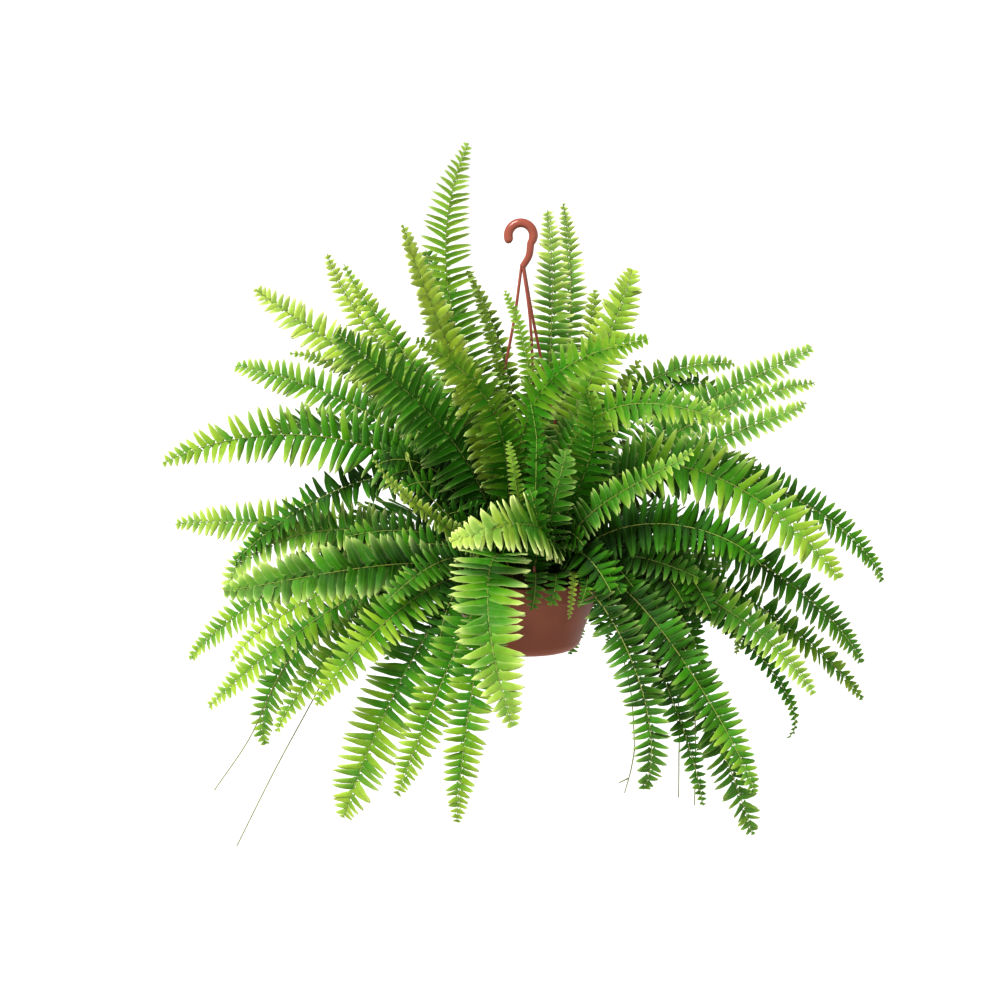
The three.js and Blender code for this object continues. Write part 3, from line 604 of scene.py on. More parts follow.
def pinna(name, side, rng):
    """A leaflet 1 long and 1 wide, thick in the middle and sharp at its margins. side is 1 where
    the frond's tip lies towards -Y of it."""
    sickle = rng.uniform(0.1, 0.7)
    droop = rng.uniform(0.1, 0.75)
    roll = rng.uniform(0.06, 0.2)
    twist = rng.uniform(-0.5, 0.5)
    phase = rng.uniform(0, 6)
    forward = -side
    vertices, uvs_top = [], []
    for i, (x, half) in enumerate(OUTLINE):
        crimp = CRIMP * (1 if i % 2 else -1) * (i > 1)
        ear = EAR if i == 1 else 0
        mid = forward * sickle * x**2
        sag = -droop * x**2
        turn = twist * x
        for v in ACROSS:
            wide = half + crimp + (ear if v * forward > 0 else 0)
            crown = {0: 0, 1: -roll}.get(abs(v), FOLD)
            crown += RIPPLE * math.sin(5 * x * math.pi + phase + 1.7 * v) * abs(v)
            y = mid + v * wide * math.cos(turn) - crown * math.sin(turn)
            back = HEEL * max(0, -v * forward) if i == 0 else 0
            vertices.append((x - back, y, sag + v * wide * math.sin(turn) + crown * math.cos(turn)))
        vertices.append((x, mid, sag - 0.05))
        uvs_top.append([(x, 0.5 + v / 2) for v in ACROSS])
    end = len(vertices)
    vertices.append((1.0, forward * sickle, -droop))
    faces, uvs = [], []
    left, right, keel = 0, len(ACROSS) - 1, len(ACROSS)
    row = keel + 1
    low = {left: 2.0, keel: 2.5, right: 3.0}  # the underside's v lies above that of the top

    def put(corners, coords):
        faces.append(corners)
        uvs.append(coords)

    last = len(OUTLINE) - 1
    for i in range(last):
        a, b = i * row, (i + 1) * row
        for j in range(right):
            put((a + j, b + j, b + j + 1, a + j + 1),
                (uvs_top[i][j], uvs_top[i + 1][j], uvs_top[i + 1][j + 1], uvs_top[i][j + 1]))
        for p, q in ((keel, left), (right, keel)):
            coords = [(OUTLINE[i][0], low[p]), (OUTLINE[i + 1][0], low[p]),
                      (OUTLINE[i + 1][0], low[q]), (OUTLINE[i][0], low[q])]
            put((a + p, b + p, b + q, a + q), coords)
    a = last * row
    for j in range(right):
        put((a + j, end, a + j + 1), (uvs_top[last][j], (1, 0.5), uvs_top[last][j + 1]))
    x = OUTLINE[last][0]
    put((a + keel, end, a), ((x, 2.5), (1, 2.5), (x, 2.0)))
    put((a + right, end, a + keel), ((x, 3.0), (1, 2.5), (x, 2.5)))
    put((0, 1, 2, keel), ((0, 0), (0, 0.2), (0, 0.5), (0, 2.5)))
    put((2, 3, 4, keel), ((0, 0.5), (0, 0.8), (0, 1), (0, 2.5)))
    mesh = bpy.data.meshes.new(name)
    mesh.from_pydata(vertices, [], faces, shade_flat=False)
    layer = mesh.uv_layers.new(name="leaf")
    layer.data.foreach_set("uv", np.array([c for face in uvs for c in face]).reshape(-1))
    shell = bmesh.new()
    shell.from_mesh(mesh)
    if shell.calc_volume(signed=True) < 0:
        bmesh.ops.reverse_faces(shell, faces=shell.faces)
    for edge in shell.edges:
        margins = [v.index % row in (left, right) and v.index < end for v in edge.verts]
        edge.smooth = not all(margins)
    shell.to_mesh(mesh)
    shell.free()
    return mesh


def pinna_shapes():
    """A collection of leaflets for each side, in the order of their numbers."""
    holder = bpy.data.collections.new("pinna shapes")
    rng = random.Random(11)
    for side, first in ((-1, 0), (1, SHAPES)):
        for i in range(SHAPES):
            name = f"pinna_{first + i:02d}"
            holder.objects.link(bpy.data.objects.new(name, pinna(name, side, rng)))
    return holder


# Node trees


def new_tree(name, inputs):
    """A geometry tree with a geometry input and output and the named inputs."""
    tree = bpy.data.node_groups.new(name, "GeometryNodeTree")
    face = tree.interface
    face.new_socket("Geometry", in_out="INPUT", socket_type="NodeSocketGeometry")
    for label, kind in inputs.items():
        face.new_socket(label, in_out="INPUT", socket_type="NodeSocket" + kind)
    face.new_socket("Geometry", in_out="OUTPUT", socket_type="NodeSocketGeometry")
    return tree, add(tree, "NodeGroupInput").outputs


def grow(name, mesh, tree, values):
    """Runs a tree on a mesh and keeps what it makes as a plain object."""
    seed = link_object(name + "_seed", mesh)
    runner = seed.modifiers.new("grow", "NODES")
    runner.node_group = tree
    sockets = {s.name: s.identifier for s in tree.interface.items_tree if s.in_out == "INPUT"}
    for label, value in values.items():
        runner[sockets[label]] = value
    graph = bpy.context.evaluated_depsgraph_get()
    made = bpy.data.meshes.new_from_object(seed.evaluated_get(graph), depsgraph=graph)
    made.name = name
    bpy.data.objects.remove(seed)
    return link_object(name, made)


def rod(tree, source, sides, material):
    """Nodes that turn lines with a girth into round rods."""
    girth = add(tree, "GeometryNodeInputNamedAttribute", {"Name": "girth"}, data_type="FLOAT")
    line = add(tree, "GeometryNodeMeshToCurve", {"Mesh": source})
    ring = add(tree, "GeometryNodeCurvePrimitiveCircle", {"Resolution": sides, "Radius": 1.0})
    skin = add(tree, "GeometryNodeCurveToMesh", {
        "Curve": line, "Profile Curve": ring, "Scale": girth, "Fill Caps": True})
    return add(tree, "GeometryNodeSetMaterial", {"Geometry": skin, "Material": material})


def frond_tree():
    """Rods along the rib, and a leaflet on each loose point, turned and sized by its attributes."""
    tree, given = new_tree("Fern frond", {
        "Leaflets": "Collection", "Rib Sides": "Int", "Roll": "Float", "Wobble": "Float",
        "Seed": "Int", "Blade": "Material", "Rachis": "Material"})
    read = {
        name: add(tree, "GeometryNodeInputNamedAttribute", {"Name": name}, data_type=kind)
        for name, kind in (("rib", "BOOLEAN"), ("run", "FLOAT_VECTOR"), ("face", "FLOAT_VECTOR"),
                           ("size", "FLOAT_VECTOR"), ("shape", "INT"))}
    parts = add(tree, "GeometryNodeSeparateGeometry", {
        "Geometry": given["Geometry"], "Selection": read["rib"]}, domain="POINT")
    rachis = rod(tree, parts.outputs["Selection"], given["Rib Sides"], given["Rachis"])

    axes = add(tree, "FunctionNodeAxesToRotation", {
        "Primary Axis": read["run"], "Secondary Axis": read["face"]},
        primary_axis="X", secondary_axis="Z")
    most = add(tree, "ShaderNodeCombineXYZ", {
        "X": given["Roll"], "Y": given["Wobble"], "Z": given["Wobble"]})
    least = add(tree, "ShaderNodeVectorMath", {"Vector": most, "Scale": -1.0}, operation="SCALE")
    turn = add(tree, "FunctionNodeRandomValue", {
        "Min": least, "Max": most, "Seed": given["Seed"]}, data_type="FLOAT_VECTOR")
    bent = add(tree, "FunctionNodeEulerToRotation", {"Euler": turn})
    facing = add(tree, "FunctionNodeRotateRotation", {
        "Rotation": axes, "Rotate By": bent}, rotation_space="LOCAL")
    shapes = add(tree, "GeometryNodeCollectionInfo", {
        "Collection": given["Leaflets"], "Separate Children": True, "Reset Children": True})
    leaves = add(tree, "GeometryNodeInstanceOnPoints", {
        "Points": parts.outputs["Inverted"], "Instance": shapes, "Pick Instance": True,
        "Instance Index": read["shape"], "Rotation": facing, "Scale": read["size"]})
    shade = add(tree, "FunctionNodeRandomValue", {"Seed": given["Seed"]}, data_type="FLOAT")
    tinted = add(tree, "GeometryNodeStoreNamedAttribute", {
        "Geometry": leaves, "Name": "shade", "Value": shade}, data_type="FLOAT", domain="INSTANCE")
    solid = add(tree, "GeometryNodeRealizeInstances", {"Geometry": tinted})
    blades = add(tree, "GeometryNodeSetMaterial", {"Geometry": solid, "Material": given["Blade"]})
    both = add(tree, "GeometryNodeJoinGeometry", {"Geometry": blades})
    set_inputs(tree, both, {"Geometry": rachis})
    add(tree, "NodeGroupOutput", {"Geometry": both})
    return tree


# Materials

# The real size of what each pattern draws
# The patches of painted sheen on the leaflets' upper side
SHEEN_PATCH = 22.2 * MM
LEAF_MOTTLE = 7.14 * MM  # coarser than between a real leaf's veins, so that it shows
RUST_GRAIN = 1.11 * MM
FLOW_CLOUD = 35.7 * MM  # uneven colour where the plastic flowed in its mould
PEAT_CRUMB = 2.22 * MM
PEAT_FIBRE = 4.17 * MM


def new_material(name):
    """A material with one Principled shader, and its tree."""
    made = bpy.data.materials.new(name)
    made.use_nodes = True
    return made, made.node_tree, made.node_tree.nodes["Principled BSDF"]


def leaf_cuticle():
    """Living fern leaflet: a waxy skin over green tissue. It gives the eye a soft broken shine with a
    painted grey-green sheen, a pale midrib with fine forked veins, yellow-green where the tissue is
    new, painted light on the margins and partly painted shade towards the bases."""
    made, tree, shader = new_material("Living fern leaf with waxy cuticle")
    uv = add(tree, "ShaderNodeUVMap", uv_map="leaf")
    split = add(tree, "ShaderNodeSeparateXYZ", {0: uv})
    along, v = split.outputs["X"], split.outputs["Y"]
    here = add(tree, "ShaderNodeTexCoord").outputs["Object"]
    tone, youth, place, shade = (
        add(tree, "ShaderNodeAttribute", attribute_name=name).outputs["Fac"]
        for name in ("tone", "youth", "place", "shade"))

    # edge runs from 0 at the midrib to 1 at the margins, on the upper side and the underside.
    under = add(tree, "ShaderNodeMath", {0: v, 1: 1.5}, operation="GREATER_THAN")
    across = add(tree, "ShaderNodeMath", {0: under, 1: -2.0, 2: v}, operation="MULTIPLY_ADD")
    across = add(tree, "ShaderNodeMath", {0: across, 1: 2.0, 2: -1.0}, operation="MULTIPLY_ADD")
    edge = add(tree, "ShaderNodeMath", {0: across}, operation="ABSOLUTE")

    # The green is darkest at the leaflets' bases and towards the frond's foot: partly older tissue,
    # partly painted shade where leaflets and fronds crowd together.
    level = tone
    for source, weight in ((place, 1.0), (along, 0.7), (shade, 0.7)):
        level = add(tree, "ShaderNodeMath", {0: source, 1: weight, 2: level}, operation="MULTIPLY_ADD")

    # New tissue: the leaflets' ends, and all of them towards the frond's tip; the paler margins are
    # partly painted light, where light catches the edges
    young_and_lit_margin = 0.0
    for source, power, weight in ((place, 3.0, 0.4), (along, 5.0, 1.8), (edge, 5.0, 0.5)):
        part = add(tree, "ShaderNodeMath", {0: source, 1: power}, operation="POWER")
        young_and_lit_margin = add(tree, "ShaderNodeMath", {0: part, 1: weight, 2: young_and_lit_margin}, operation="MULTIPLY_ADD")
    young_and_lit_margin = add(tree, "ShaderNodeMath", {0: young_and_lit_margin, 1: youth}, operation="MULTIPLY", use_clamp=True)

    # Forked veins, about twice as far apart as the real ones' 0.7 mm so that they show
    veins = add(tree, "ShaderNodeMath", {0: along, 1: VEINS * 2 * math.pi}, operation="MULTIPLY")
    veins = add(tree, "ShaderNodeMath", {0: edge, 1: -VEINS * math.pi / 2, 2: veins},
                operation="MULTIPLY_ADD")
    veins = add(tree, "ShaderNodeMath", {0: veins}, operation="SINE")
    veins = add(tree, "ShaderNodeMath", {0: veins, 1: 0.5, 2: 0.5}, operation="MULTIPLY_ADD")
    veins = add(tree, "ShaderNodeMath", {0: veins, 1: 6.0}, operation="POWER")
    midrib = add(tree, "ShaderNodeMath", {0: edge, 1: 0.08}, operation="LESS_THAN")

    # Painted sheen: a grey-green cast in patches on the upper side, a painted reflection of the pale
    # room
    cloud = add(tree, "ShaderNodeTexNoise", {"Vector": here, "Scale": 1 / SHEEN_PATCH, "Detail": 1.0})
    painted_sheen = add(tree, "ShaderNodeMath", {0: cloud, 1: 2.4, 2: -0.95}, operation="MULTIPLY_ADD",
                use_clamp=True)
    upper = add(tree, "ShaderNodeMath", {0: 1.0, 1: under}, operation="SUBTRACT")
    painted_sheen = add(tree, "ShaderNodeMath", {0: painted_sheen, 1: upper}, operation="MULTIPLY")

    # Each layer: what it follows, times a weight and plus a start, and the colour that it brings
    layers = (
        (level, 1.0, -0.17, "2E7002"), (level, 1.0, -1.17, "8AA228"), (young_and_lit_margin, 1.0, 0.0, "C6D08C"),
        (veins, 0.1, 0.0, "8AA228"), (midrib, 0.2, 0.0, "6C9430"), (under, 0.4, 0.0, "24690E"),
        (painted_sheen, 0.12, 0.0, "6E9A72"))
    body = linear("032E00")
    for source, weight, start, colour in layers:
        share = add(tree, "ShaderNodeMath", {0: source, 1: weight, 2: start},
                    operation="MULTIPLY_ADD", use_clamp=True)
        body = add(tree, "ShaderNodeMix", {"Factor": share, "A": body, "B": linear(colour)},
                   data_type="RGBA")
    mottle = add(tree, "ShaderNodeTexNoise", {"Vector": here, "Scale": 1 / LEAF_MOTTLE, "Detail": 3.0})
    dim = add(tree, "ShaderNodeMath", {0: mottle, 1: 0.5, 2: 0.75}, operation="MULTIPLY_ADD")
    body = add(tree, "ShaderNodeMix", {"Factor": 1.0, "A": body, "B": dim}, data_type="RGBA",
               blend_type="MULTIPLY")
    gloss = add(tree, "ShaderNodeMath", {0: mottle, 1: 0.25, 2: 0.3}, operation="MULTIPLY_ADD")
    relief = add(tree, "ShaderNodeMath", {0: veins, 1: 0.5}, operation="MULTIPLY")
    relief = add(tree, "ShaderNodeMath", {0: relief, 1: midrib}, operation="SUBTRACT")
    bump = add(tree, "ShaderNodeBump", {"Strength": 0.5, "Distance": 0.2 * MM, "Height": relief})
    set_inputs(tree, shader, {
        "Base Color": body, "Roughness": gloss, "Normal": bump, "IOR": 1.4,
        "Specular IOR Level": 0.05})
    return made


def rachis_skin():
    """Fern rachis, a thin green-brown stalk with rusty scales low down. It gives the eye a dull
    brown line that turns green towards the tip."""
    made, tree, shader = new_material("Fern rachis with rusty scales")
    place = add(tree, "ShaderNodeAttribute", attribute_name="place").outputs["Fac"]
    here = add(tree, "ShaderNodeTexCoord").outputs["Object"]
    green = add(tree, "ShaderNodeMath", {0: place, 1: 0.7}, operation="POWER")
    body = add(tree, "ShaderNodeMix", {
        "Factor": green, "A": linear("5E5426"), "B": linear("7C8E3C")}, data_type="RGBA")
    grain = add(tree, "ShaderNodeTexNoise", {"Vector": here, "Scale": 1 / RUST_GRAIN, "Detail": 2.0})
    scale = add(tree, "ShaderNodeMath", {0: grain, 1: 0.56}, operation="GREATER_THAN")
    low = add(tree, "ShaderNodeMath", {0: 0.8, 1: place}, operation="SUBTRACT", use_clamp=True)
    scale = add(tree, "ShaderNodeMath", {0: scale, 1: low}, operation="MULTIPLY")
    scale = add(tree, "ShaderNodeMath", {0: scale, 1: 0.7}, operation="MULTIPLY")
    body = add(tree, "ShaderNodeMix", {"Factor": scale, "A": body, "B": linear("4A3019")},
               data_type="RGBA")
    set_inputs(tree, shader, {"Base Color": body, "Roughness": 0.55})
    return made


def moulded_polypropylene(name, colour, shade, roughness, grain):
    """Injection-moulded polypropylene with reground filler. It gives the eye an even dull brown
    with a fine speckle and a slightly uneven skin."""
    made, tree, shader = new_material(name)
    here = add(tree, "ShaderNodeTexCoord").outputs["Object"]
    speckle = add(tree, "ShaderNodeTexNoise", {"Vector": here, "Scale": 1 / grain, "Detail": 3.0})
    cloud = add(tree, "ShaderNodeTexNoise", {"Vector": here, "Scale": 1 / FLOW_CLOUD, "Detail": 2.0})
    share = add(tree, "ShaderNodeMath", {0: cloud, 1: 0.8, 2: -0.3}, operation="MULTIPLY_ADD")
    share = add(tree, "ShaderNodeMath", {0: speckle, 1: 0.7, 2: share}, operation="MULTIPLY_ADD",
                use_clamp=True)
    body = add(tree, "ShaderNodeMix", {
        "Factor": share, "A": linear(shade), "B": linear(colour)}, data_type="RGBA")
    dull = add(tree, "ShaderNodeMath", {0: speckle, 1: 0.2, 2: roughness - 0.1},
               operation="MULTIPLY_ADD")
    bump = add(tree, "ShaderNodeBump", {"Strength": 0.25, "Distance": 0.15 * MM, "Height": speckle})
    set_inputs(tree, shader, {"Base Color": body, "Roughness": dull, "Normal": bump, "IOR": 1.49})
    return made


def peat_compost():
    """Peat compost: crumbs and fibres, damp and nearly black. It gives the eye a rough dark ground
    with a few paler bits."""
    made, tree, shader = new_material("Damp peat compost")
    here = add(tree, "ShaderNodeTexCoord").outputs["Object"]
    crumbs = add(tree, "ShaderNodeTexVoronoi", {"Vector": here, "Scale": 1 / PEAT_CRUMB})
    fibre = add(tree, "ShaderNodeTexNoise", {"Vector": here, "Scale": 1 / PEAT_FIBRE, "Detail": 5.0})
    body = add(tree, "ShaderNodeMix", {
        "Factor": fibre, "A": linear("1C130D"), "B": linear("4B3526")}, data_type="RGBA")
    bits = add(tree, "ShaderNodeMath", {0: fibre, 1: 0.63}, operation="GREATER_THAN")
    bits = add(tree, "ShaderNodeMath", {0: bits, 1: 0.6}, operation="MULTIPLY")
    body = add(tree, "ShaderNodeMix", {"Factor": bits, "A": body, "B": linear("7A5C40")},
               data_type="RGBA")
    bump = add(tree, "ShaderNodeBump", {"Strength": 0.8, "Distance": 1.2 * MM, "Height": crumbs})
    set_inputs(tree, shader, {"Base Color": body, "Roughness": 0.92, "Normal": bump})
    return made


def painted_floor():
    """Matt white studio paint: it gives the eye a plain pale ground."""
    made, tree, shader = new_material("Matt white studio paint")
    set_inputs(tree, shader, {"Base Color": linear("C8C8C8"), "Roughness": 0.9})
    return made


# Pieces


def keep(piece, node):
    """Puts a finished piece on the one body, in the place of its solid."""
    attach(piece, "root")
    if node:
        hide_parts(node)
    return piece


def grow_fronds(tree, values):
    """A fine frond for each frond solid."""
    for index, (label, look) in enumerate(LOOKS.items()):
        name = "frond_" + label
        rng = random.Random(1000 + index)
        points, ups, leaflets = read_frond(name)
        rib = Rib(points, ups)
        tables = {}
        for side in (-1, 1):
            rows = sorted((k, reach, lift) for k, s, reach, lift in leaflets if s == side)
            at = [(rib.knots[k] + rib.knots[k + 1]) / 2 for k, _, _ in rows]
            at = [rib.knots[rows[0][0]], *at, rib.length - 4 * MM, rib.length]
            reach = [0.7 * rows[0][1], *(r for _, r, _ in rows), 0.5 * rows[-1][1], 2.5 * MM]
            lift = [rows[0][2], *(a for _, _, a in rows), rows[-1][2], rows[-1][2]]
            tables[side] = (at, reach, lift)

        def reach_of(s, side):
            return np.interp(s, tables[side][0], tables[side][1])

        def lift_of(s, side):
            return np.interp(s, tables[side][0], tables[side][2])

        start = min(tables[1][0][0], tables[-1][0][0])
        widest = PITCHES[label] * MM if label in PITCHES else PITCH
        broad = BROAD.get(label, PINNA_SHARE)
        lean = SWEEPS.get(label, SWEEP)
        rows = leaflet_rows(rib, start, reach_of, lift_of, rng, look, widest, broad, lean)
        mesh = frond_mesh(name + "_points", [(rib, rows)], scale_threads(rib, rng))
        unrest = 2 if label in UNRULY else 1
        turns = {key: unrest * values[key] for key in ("Roll", "Wobble")}
        fine = grow(name + "_fine", mesh, tree, {**values, **turns, "Seed": index})
        keep(fine, name)


def grow_sprigs(tree, values):
    """The fronds, croziers and runners that have no solid, in a few pieces."""
    rng = random.Random(23)

    def fronds_of(table):
        for root, mid, tip, reach, face, *look in table:
            rib = arching_rib(root, mid, tip, face)
            yield rib, sprig_rows(rib, reach, rng, look)

    inner = list(fronds_of(inner_rows()))
    share = len(inner) // INNER_PIECES
    groups = {
        f"inner_fronds_{i + 1}": (inner[i * share : (i + 1) * share], []) for i in range(INNER_PIECES)}
    groups["young_fronds"] = (list(fronds_of(SPRIGS)), [])
    buds = [arching_rib(*row, 70) for row in CROZIERS]
    coils = [coil_thread(rib) for rib in buds]
    scales = [thread for rib in buds for thread in scale_threads(rib, rng)]
    groups["croziers"] = ([(rib, []) for rib in buds], coils + scales)
    runners = []
    for line in RUNNERS:
        points = smooth_path([CROWN + np.array(p) * MM for p in line], 8)
        runners.append((points, np.linspace(0.75, 0.55, len(points)) * MM, 0.4))
    groups["runners"] = ([], runners)
    for index, (name, (fronds, threads)) in enumerate(groups.items()):
        mesh = frond_mesh(name + "_points", fronds, threads)
        keep(grow(name, mesh, tree, {**values, "Seed": 100 + index}), None)


def rod_tree():
    """Lines with a girth made into round rods."""
    tree, given = new_tree("Moulded rod", {"Sides": "Int", "Skin": "Material"})
    add(tree, "NodeGroupOutput", {
        "Geometry": rod(tree, given["Geometry"], given["Sides"], given["Skin"])})
    return tree


def line_mesh(name, lines):
    """Lines of (point, girth) as one mesh for the rod tree."""
    mesh = bpy.data.meshes.new(name)
    points, edges, girths = [], [], []
    for line in lines:
        first = len(points)
        points += [tuple(p) for p, _ in line]
        girths += [g for _, g in line]
        edges += [(first + i, first + i + 1) for i in range(len(line) - 1)]
    mesh.from_pydata(points, edges, [])
    mesh.attributes.new("girth", "FLOAT", "POINT").data.foreach_set("value", girths)
    return mesh


def rounded_start(points, girth):
    """Girths along points that round off the first end like a ball."""
    at = np.concatenate([[0], np.cumsum(np.linalg.norm(np.diff(points, axis=0), axis=1))])
    inside = np.clip(1 - at / girth, 0, 1)
    return girth * np.sqrt(np.maximum(1 - inside**2, 0.02))


def hook_line():
    """The hook from its free end over the bow and down to the knot."""
    bow = []
    for angle in range(HOOK_MOUTH, HOOK_FOOT - 1, -12):
        a = math.radians(angle)
        bow.append((HOOK_RADIUS * math.cos(a), 0, HOOK_RADIUS * (math.sin(a) - 1) + ROD / 2))
    bow += [(9 * MM, 0, KNOT_Z + 13 * MM), (2 * MM, 0, KNOT_Z + MM)]
    path = smooth_path(bow, 8)
    along = np.linspace(0, 1, len(path))
    thinner = STEM_TAPER * np.clip((along - TAPER_FROM) / (1 - TAPER_FROM), 0, 1)
    return list(zip(path, rounded_start(path, ROD / 2) * (1 - thinner)))


def strand_line(azimuth, bend):
    """A strand from the knot to the rim, as in the solid."""
    a = math.radians(azimuth)
    out = np.array([math.cos(a), math.sin(a), 0])
    top = np.array([2 * MM, 0, KNOT_Z + 4 * MM]) + out * MM
    foot = np.array([POT_X, 0, RIM_Z + GAP + CLIP_THICK / 2]) + out * (RIM_RADIUS - MM)
    path = smooth_path([top, np.array(bend) * MM, foot], 24)
    return [(p, STRAND / 2) for p in path]


def clip_mesh(azimuth):
    """A clip over the rim: an upside-down U with rounded edges."""
    inner = RIM_RADIUS - CLIP_REACH - GAP
    outer = RIM_RADIUS + GAP
    top = RIM_Z + GAP
    low, foot = top - CLIP_INNER_LEG, top - CLIP_LEG
    outline = [
        (inner - CLIP_THICK, top + CLIP_THICK), (inner - CLIP_THICK, low), (inner, low),
        (inner, top), (outer, top), (outer, foot), (outer + CLIP_THICK, foot),
        (outer + CLIP_THICK, top + CLIP_THICK)]
    a = math.radians(azimuth)
    out, side = Vector((math.cos(a), math.sin(a), 0)), Vector((-math.sin(a), math.cos(a), 0))
    shell = bmesh.new()
    rows = []
    for s in (-0.5, 0.5):
        aside = side * s * CLIP_WIDTH
        rows.append([shell.verts.new(Vector((POT_X, 0, z)) + out * r + aside) for r, z in outline])
    shell.faces.new(rows[0])
    shell.faces.new(reversed(rows[1]))
    for i in range(len(outline)):
        j = (i + 1) % len(outline)
        shell.faces.new((rows[0][j], rows[0][i], rows[1][i], rows[1][j]))
    bmesh.ops.recalc_face_normals(shell, faces=shell.faces)
    bmesh.ops.bevel(shell, geom=shell.edges[:], offset=CLIP_EDGE, segments=2, affect="EDGES",
                    profile=0.5)
    mesh = bpy.data.meshes.new("clip")
    shell.to_mesh(mesh)
    shell.free()
    return mesh


def join_meshes(name, meshes, material):
    """Several meshes as one smooth object."""
    shell = bmesh.new()
    for mesh in meshes:
        shell.from_mesh(mesh)
    made = bpy.data.meshes.new(name)
    shell.to_mesh(made)
    shell.free()
    made.materials.append(material)
    made.polygons.foreach_set("use_smooth", [True] * len(made.polygons))
    return link_object(name, made)


def make_hanger(plastic):
    """Hook, knot, strands and clips, one moulding."""
    lines = [hook_line()]
    lines += [strand_line(azimuth, bend) for azimuth, bend in STRANDS]
    mesh = line_mesh("hanger_lines", lines)
    rods = grow("hanger_rods", mesh, rod_tree(), {"Sides": 20, "Skin": plastic})
    clips = [clip_mesh(azimuth) for azimuth, _ in STRANDS]
    piece = join_meshes("hanger_moulding", [rods.data, *clips], plastic)
    bpy.data.objects.remove(rods)
    keep(piece, "hanger")


def lathe(name, profile, sides):
    """A closed outline of (radius, height), from the axis round to the axis, turned about the pot."""
    vertices, faces, ring_of = [], [], []
    for r, z in profile:
        if r < 1e-6:
            ring_of.append([len(vertices)] * sides)
            vertices.append((POT_X, 0, z))
            continue
        ring_of.append([len(vertices) + i for i in range(sides)])
        for i in range(sides):
            a = 2 * math.pi * i / sides
            vertices.append((POT_X + r * math.cos(a), r * math.sin(a), z))
    for near, far in zip(ring_of, ring_of[1:]):
        for i in range(sides):
            j = (i + 1) % sides
            corners = list(dict.fromkeys((near[i], near[j], far[j], far[i])))
            if len(corners) > 2:
                faces.append(corners)
    return mesh_of(name, vertices, faces)


def arc(centre, radius, start, stop, steps):
    """Points of a circular fillet in the outline's plane, in degrees."""
    made = []
    for i in range(steps + 1):
        a = math.radians(start + (stop - start) * i / steps)
        made.append((centre[0] + radius * math.cos(a), centre[1] + radius * math.sin(a)))
    return made


def pot_outline():
    """Half the pot's section: up the outside over the rolled rim, and down the inside."""
    base = RIM_Z - POT_HEIGHT
    band = RIM_Z - RIM_BAND
    mouth = RIM_RADIUS - MM - WALL
    corner = CORNER - WALL
    line = [(0, base), (BASE_FLAT, base)]
    line += arc((FOOT_RADIUS - CORNER, base + CORNER), CORNER, -90, 0, 10)
    line += [(POT_RADIUS - 0.3 * MM, band - 2 * FILLET)]
    line += arc((POT_RADIUS + FILLET, band - FILLET), FILLET, 180, 90, 3)
    line += arc((RIM_RADIUS - 3 * MM - FILLET, band + FILLET), FILLET, -90, 0, 3)
    line += arc((RIM_RADIUS - FILLET, RIM_Z - LIP), FILLET, 0, 90, 4)
    line += arc((mouth + FILLET, RIM_Z - LIP), FILLET, 90, 180, 4)
    line += [(POT_RADIUS - WALL, band)]
    line += arc((FOOT_RADIUS - WALL - corner, base + WALL + corner), corner, 0, -90, 8)
    return line + [(BASE_FLAT, base + WALL), (0, base + WALL)]


def make_pot(plastic):
    """The pot's shell: rolled rim, band, wall, round corner, base with drain holes."""
    shell = link_object("pot_shell", lathe("pot_shell", pot_outline(), 96))
    drill = bmesh.new()
    for i in range(DRAINS):
        a = 2 * math.pi * i / DRAINS
        out, side = DRAIN_CIRCLE * math.cos(a), DRAIN_CIRCLE * math.sin(a)
        place = Matrix.Translation((POT_X + out, side, RIM_Z - POT_HEIGHT))
        bmesh.ops.create_cone(drill, cap_ends=True, segments=24, radius1=DRAIN_RADIUS,
                              radius2=DRAIN_RADIUS, depth=6 * WALL, matrix=place)
    mesh = bpy.data.meshes.new("drills")
    drill.to_mesh(mesh)
    drill.free()
    drills = link_object("drills", mesh)
    cut = shell.modifiers.new("drains", "BOOLEAN")
    cut.object = drills
    cut.operation = "DIFFERENCE"
    cut.solver = "EXACT"
    graph = bpy.context.evaluated_depsgraph_get()
    cut_mesh = bpy.data.meshes.new_from_object(shell.evaluated_get(graph), depsgraph=graph)
    shell.modifiers.clear()
    shell.data = cut_mesh
    bpy.data.objects.remove(drills)
    cut_mesh.materials.clear()
    cut_mesh.materials.append(plastic)
    cut_mesh.set_sharp_from_angle(angle=math.radians(40))
    keep(shell, "pot")


def make_soil(compost):
    """Compost up to just under the rim, with an uneven crumbly top."""
    clear = WALL + GAP
    base = RIM_Z - POT_HEIGHT + clear
    foot = FOOT_RADIUS - clear
    side = POT_RADIUS - clear + 0.6 * MM
    level = SOIL_Z - SOIL_DIP
    line = [(0, base), (30 * MM, base), (foot - 12 * MM, base), (foot - 2 * MM, base + 6 * MM)]
    line += [(foot, base + 14 * MM), (side - 1.2 * MM, SOIL_Z - 3 * MM)]
    line += [(side * (1 - i / SOIL_RINGS), level) for i in range(1, SOIL_RINGS + 1)]
    mesh = lathe("compost", line, 110)
    for vertex in mesh.vertices:
        if vertex.co.z > level - SOIL_DIP / 2:
            vertex.co.z += SOIL_ROUGH * noise.fractal(vertex.co * 160, 1.0, 2.0, 4)
    mesh.materials.append(compost)
    keep(link_object("compost", mesh), "soil")


# Scene


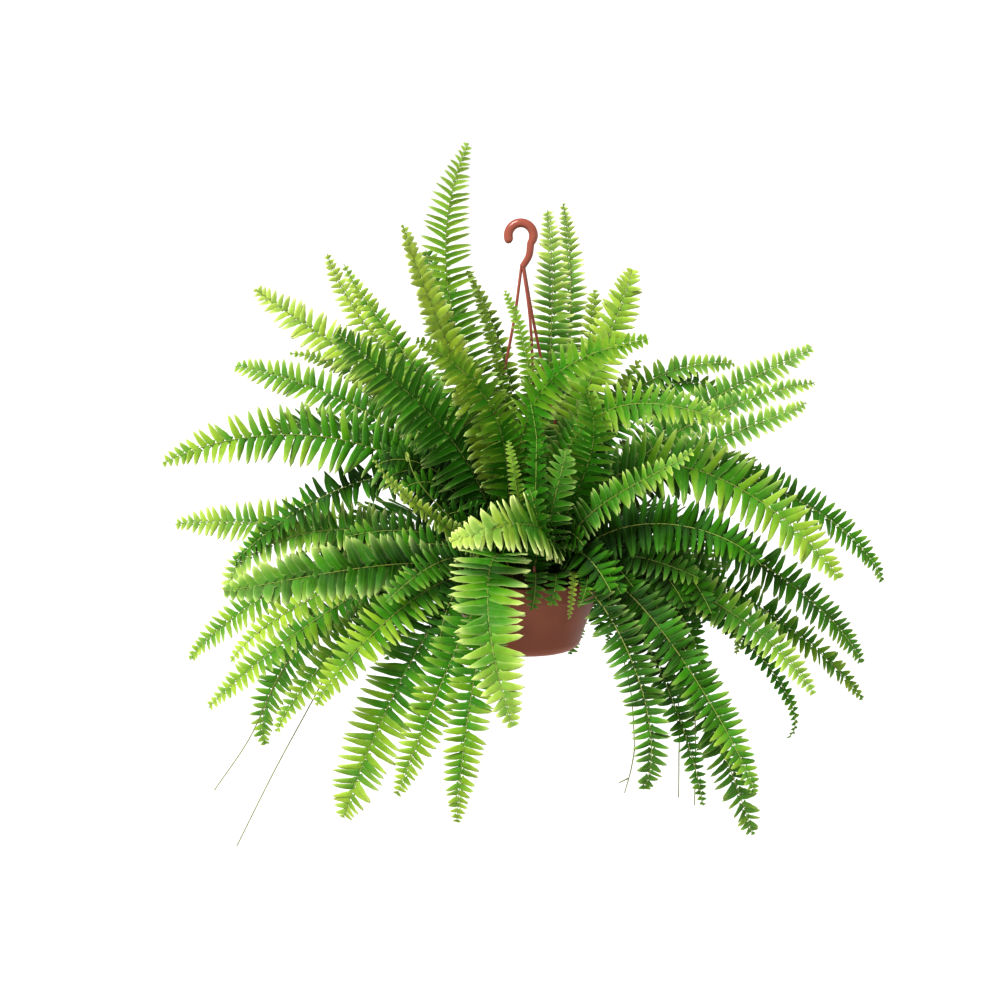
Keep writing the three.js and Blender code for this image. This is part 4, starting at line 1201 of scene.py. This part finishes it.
def make_stage():
    """A pale floor far below, a white room, a soft key light, and the camera."""
    scene = bpy.context.scene
    mesh = bpy.data.meshes.new("floor")
    corners = ((-1, -1), (1, -1), (1, 1), (-1, 1))
    mesh.from_pydata([(x * FLOOR_REACH, y * FLOOR_REACH, FLOOR_Z) for x, y in corners], [],
                     [(0, 1, 2, 3)])
    mesh.materials.append(painted_floor())
    link_object("floor", mesh)

    # White walls up to 12 degrees above the horizon, and a dimmer ceiling over them
    world = bpy.data.worlds.new("studio")
    scene.world = world
    world.use_nodes = True
    tree = world.node_tree
    way = add(tree, "ShaderNodeTexCoord").outputs["Generated"]
    height = add(tree, "ShaderNodeSeparateXYZ", {0: way}).outputs["Z"]
    above = add(tree, "ShaderNodeMath", {0: height, 1: 8.0, 2: -1.6}, operation="MULTIPLY_ADD",
                use_clamp=True)
    level = add(tree, "ShaderNodeMath", {0: above, 1: CEILING - WALLS, 2: WALLS},
                operation="MULTIPLY_ADD")
    set_inputs(tree, tree.nodes["Background"], {"Color": (1, 1, 1, 1), "Strength": level})

    lamp = bpy.data.lights.new("key", "SUN")
    lamp.energy = KEY
    lamp.angle = math.radians(KEY_SIZE)
    made = bpy.data.objects.new("key", lamp)
    made.rotation_euler = (-Vector(KEY_FROM)).to_track_quat("-Z", "Y").to_euler()
    scene.collection.objects.link(made)

    eye = bpy.data.cameras.new("camera")
    eye.sensor_width = SENSOR
    eye.lens = LENS
    camera = bpy.data.objects.new("camera", eye)
    camera.location = CAMERA_AT
    camera.rotation_euler = (math.radians(90 - CAMERA_TILT), 0, 0)
    scene.collection.objects.link(camera)
    scene.camera = camera
    scene.view_settings.view_transform = "Standard"
    scene.view_settings.gamma = GAMMA


make_stage()
FROND_TREE = frond_tree()
FROND_VALUES = {
    "Leaflets": pinna_shapes(), "Rib Sides": 6, "Roll": math.radians(ROLL),
    "Wobble": math.radians(WOBBLE), "Blade": leaf_cuticle(), "Rachis": rachis_skin()}
grow_fronds(FROND_TREE, FROND_VALUES)
grow_sprigs(FROND_TREE, FROND_VALUES)
make_hanger(moulded_polypropylene(
    "Glossy moulded polypropylene hanger", "A8624E", "6E3022", roughness=0.24, grain=0.5 * MM))
make_pot(moulded_polypropylene(
    "Matt moulded polypropylene pot", "985636", "743A24", roughness=0.46, grain=0.35 * MM))
make_soil(peat_compost())
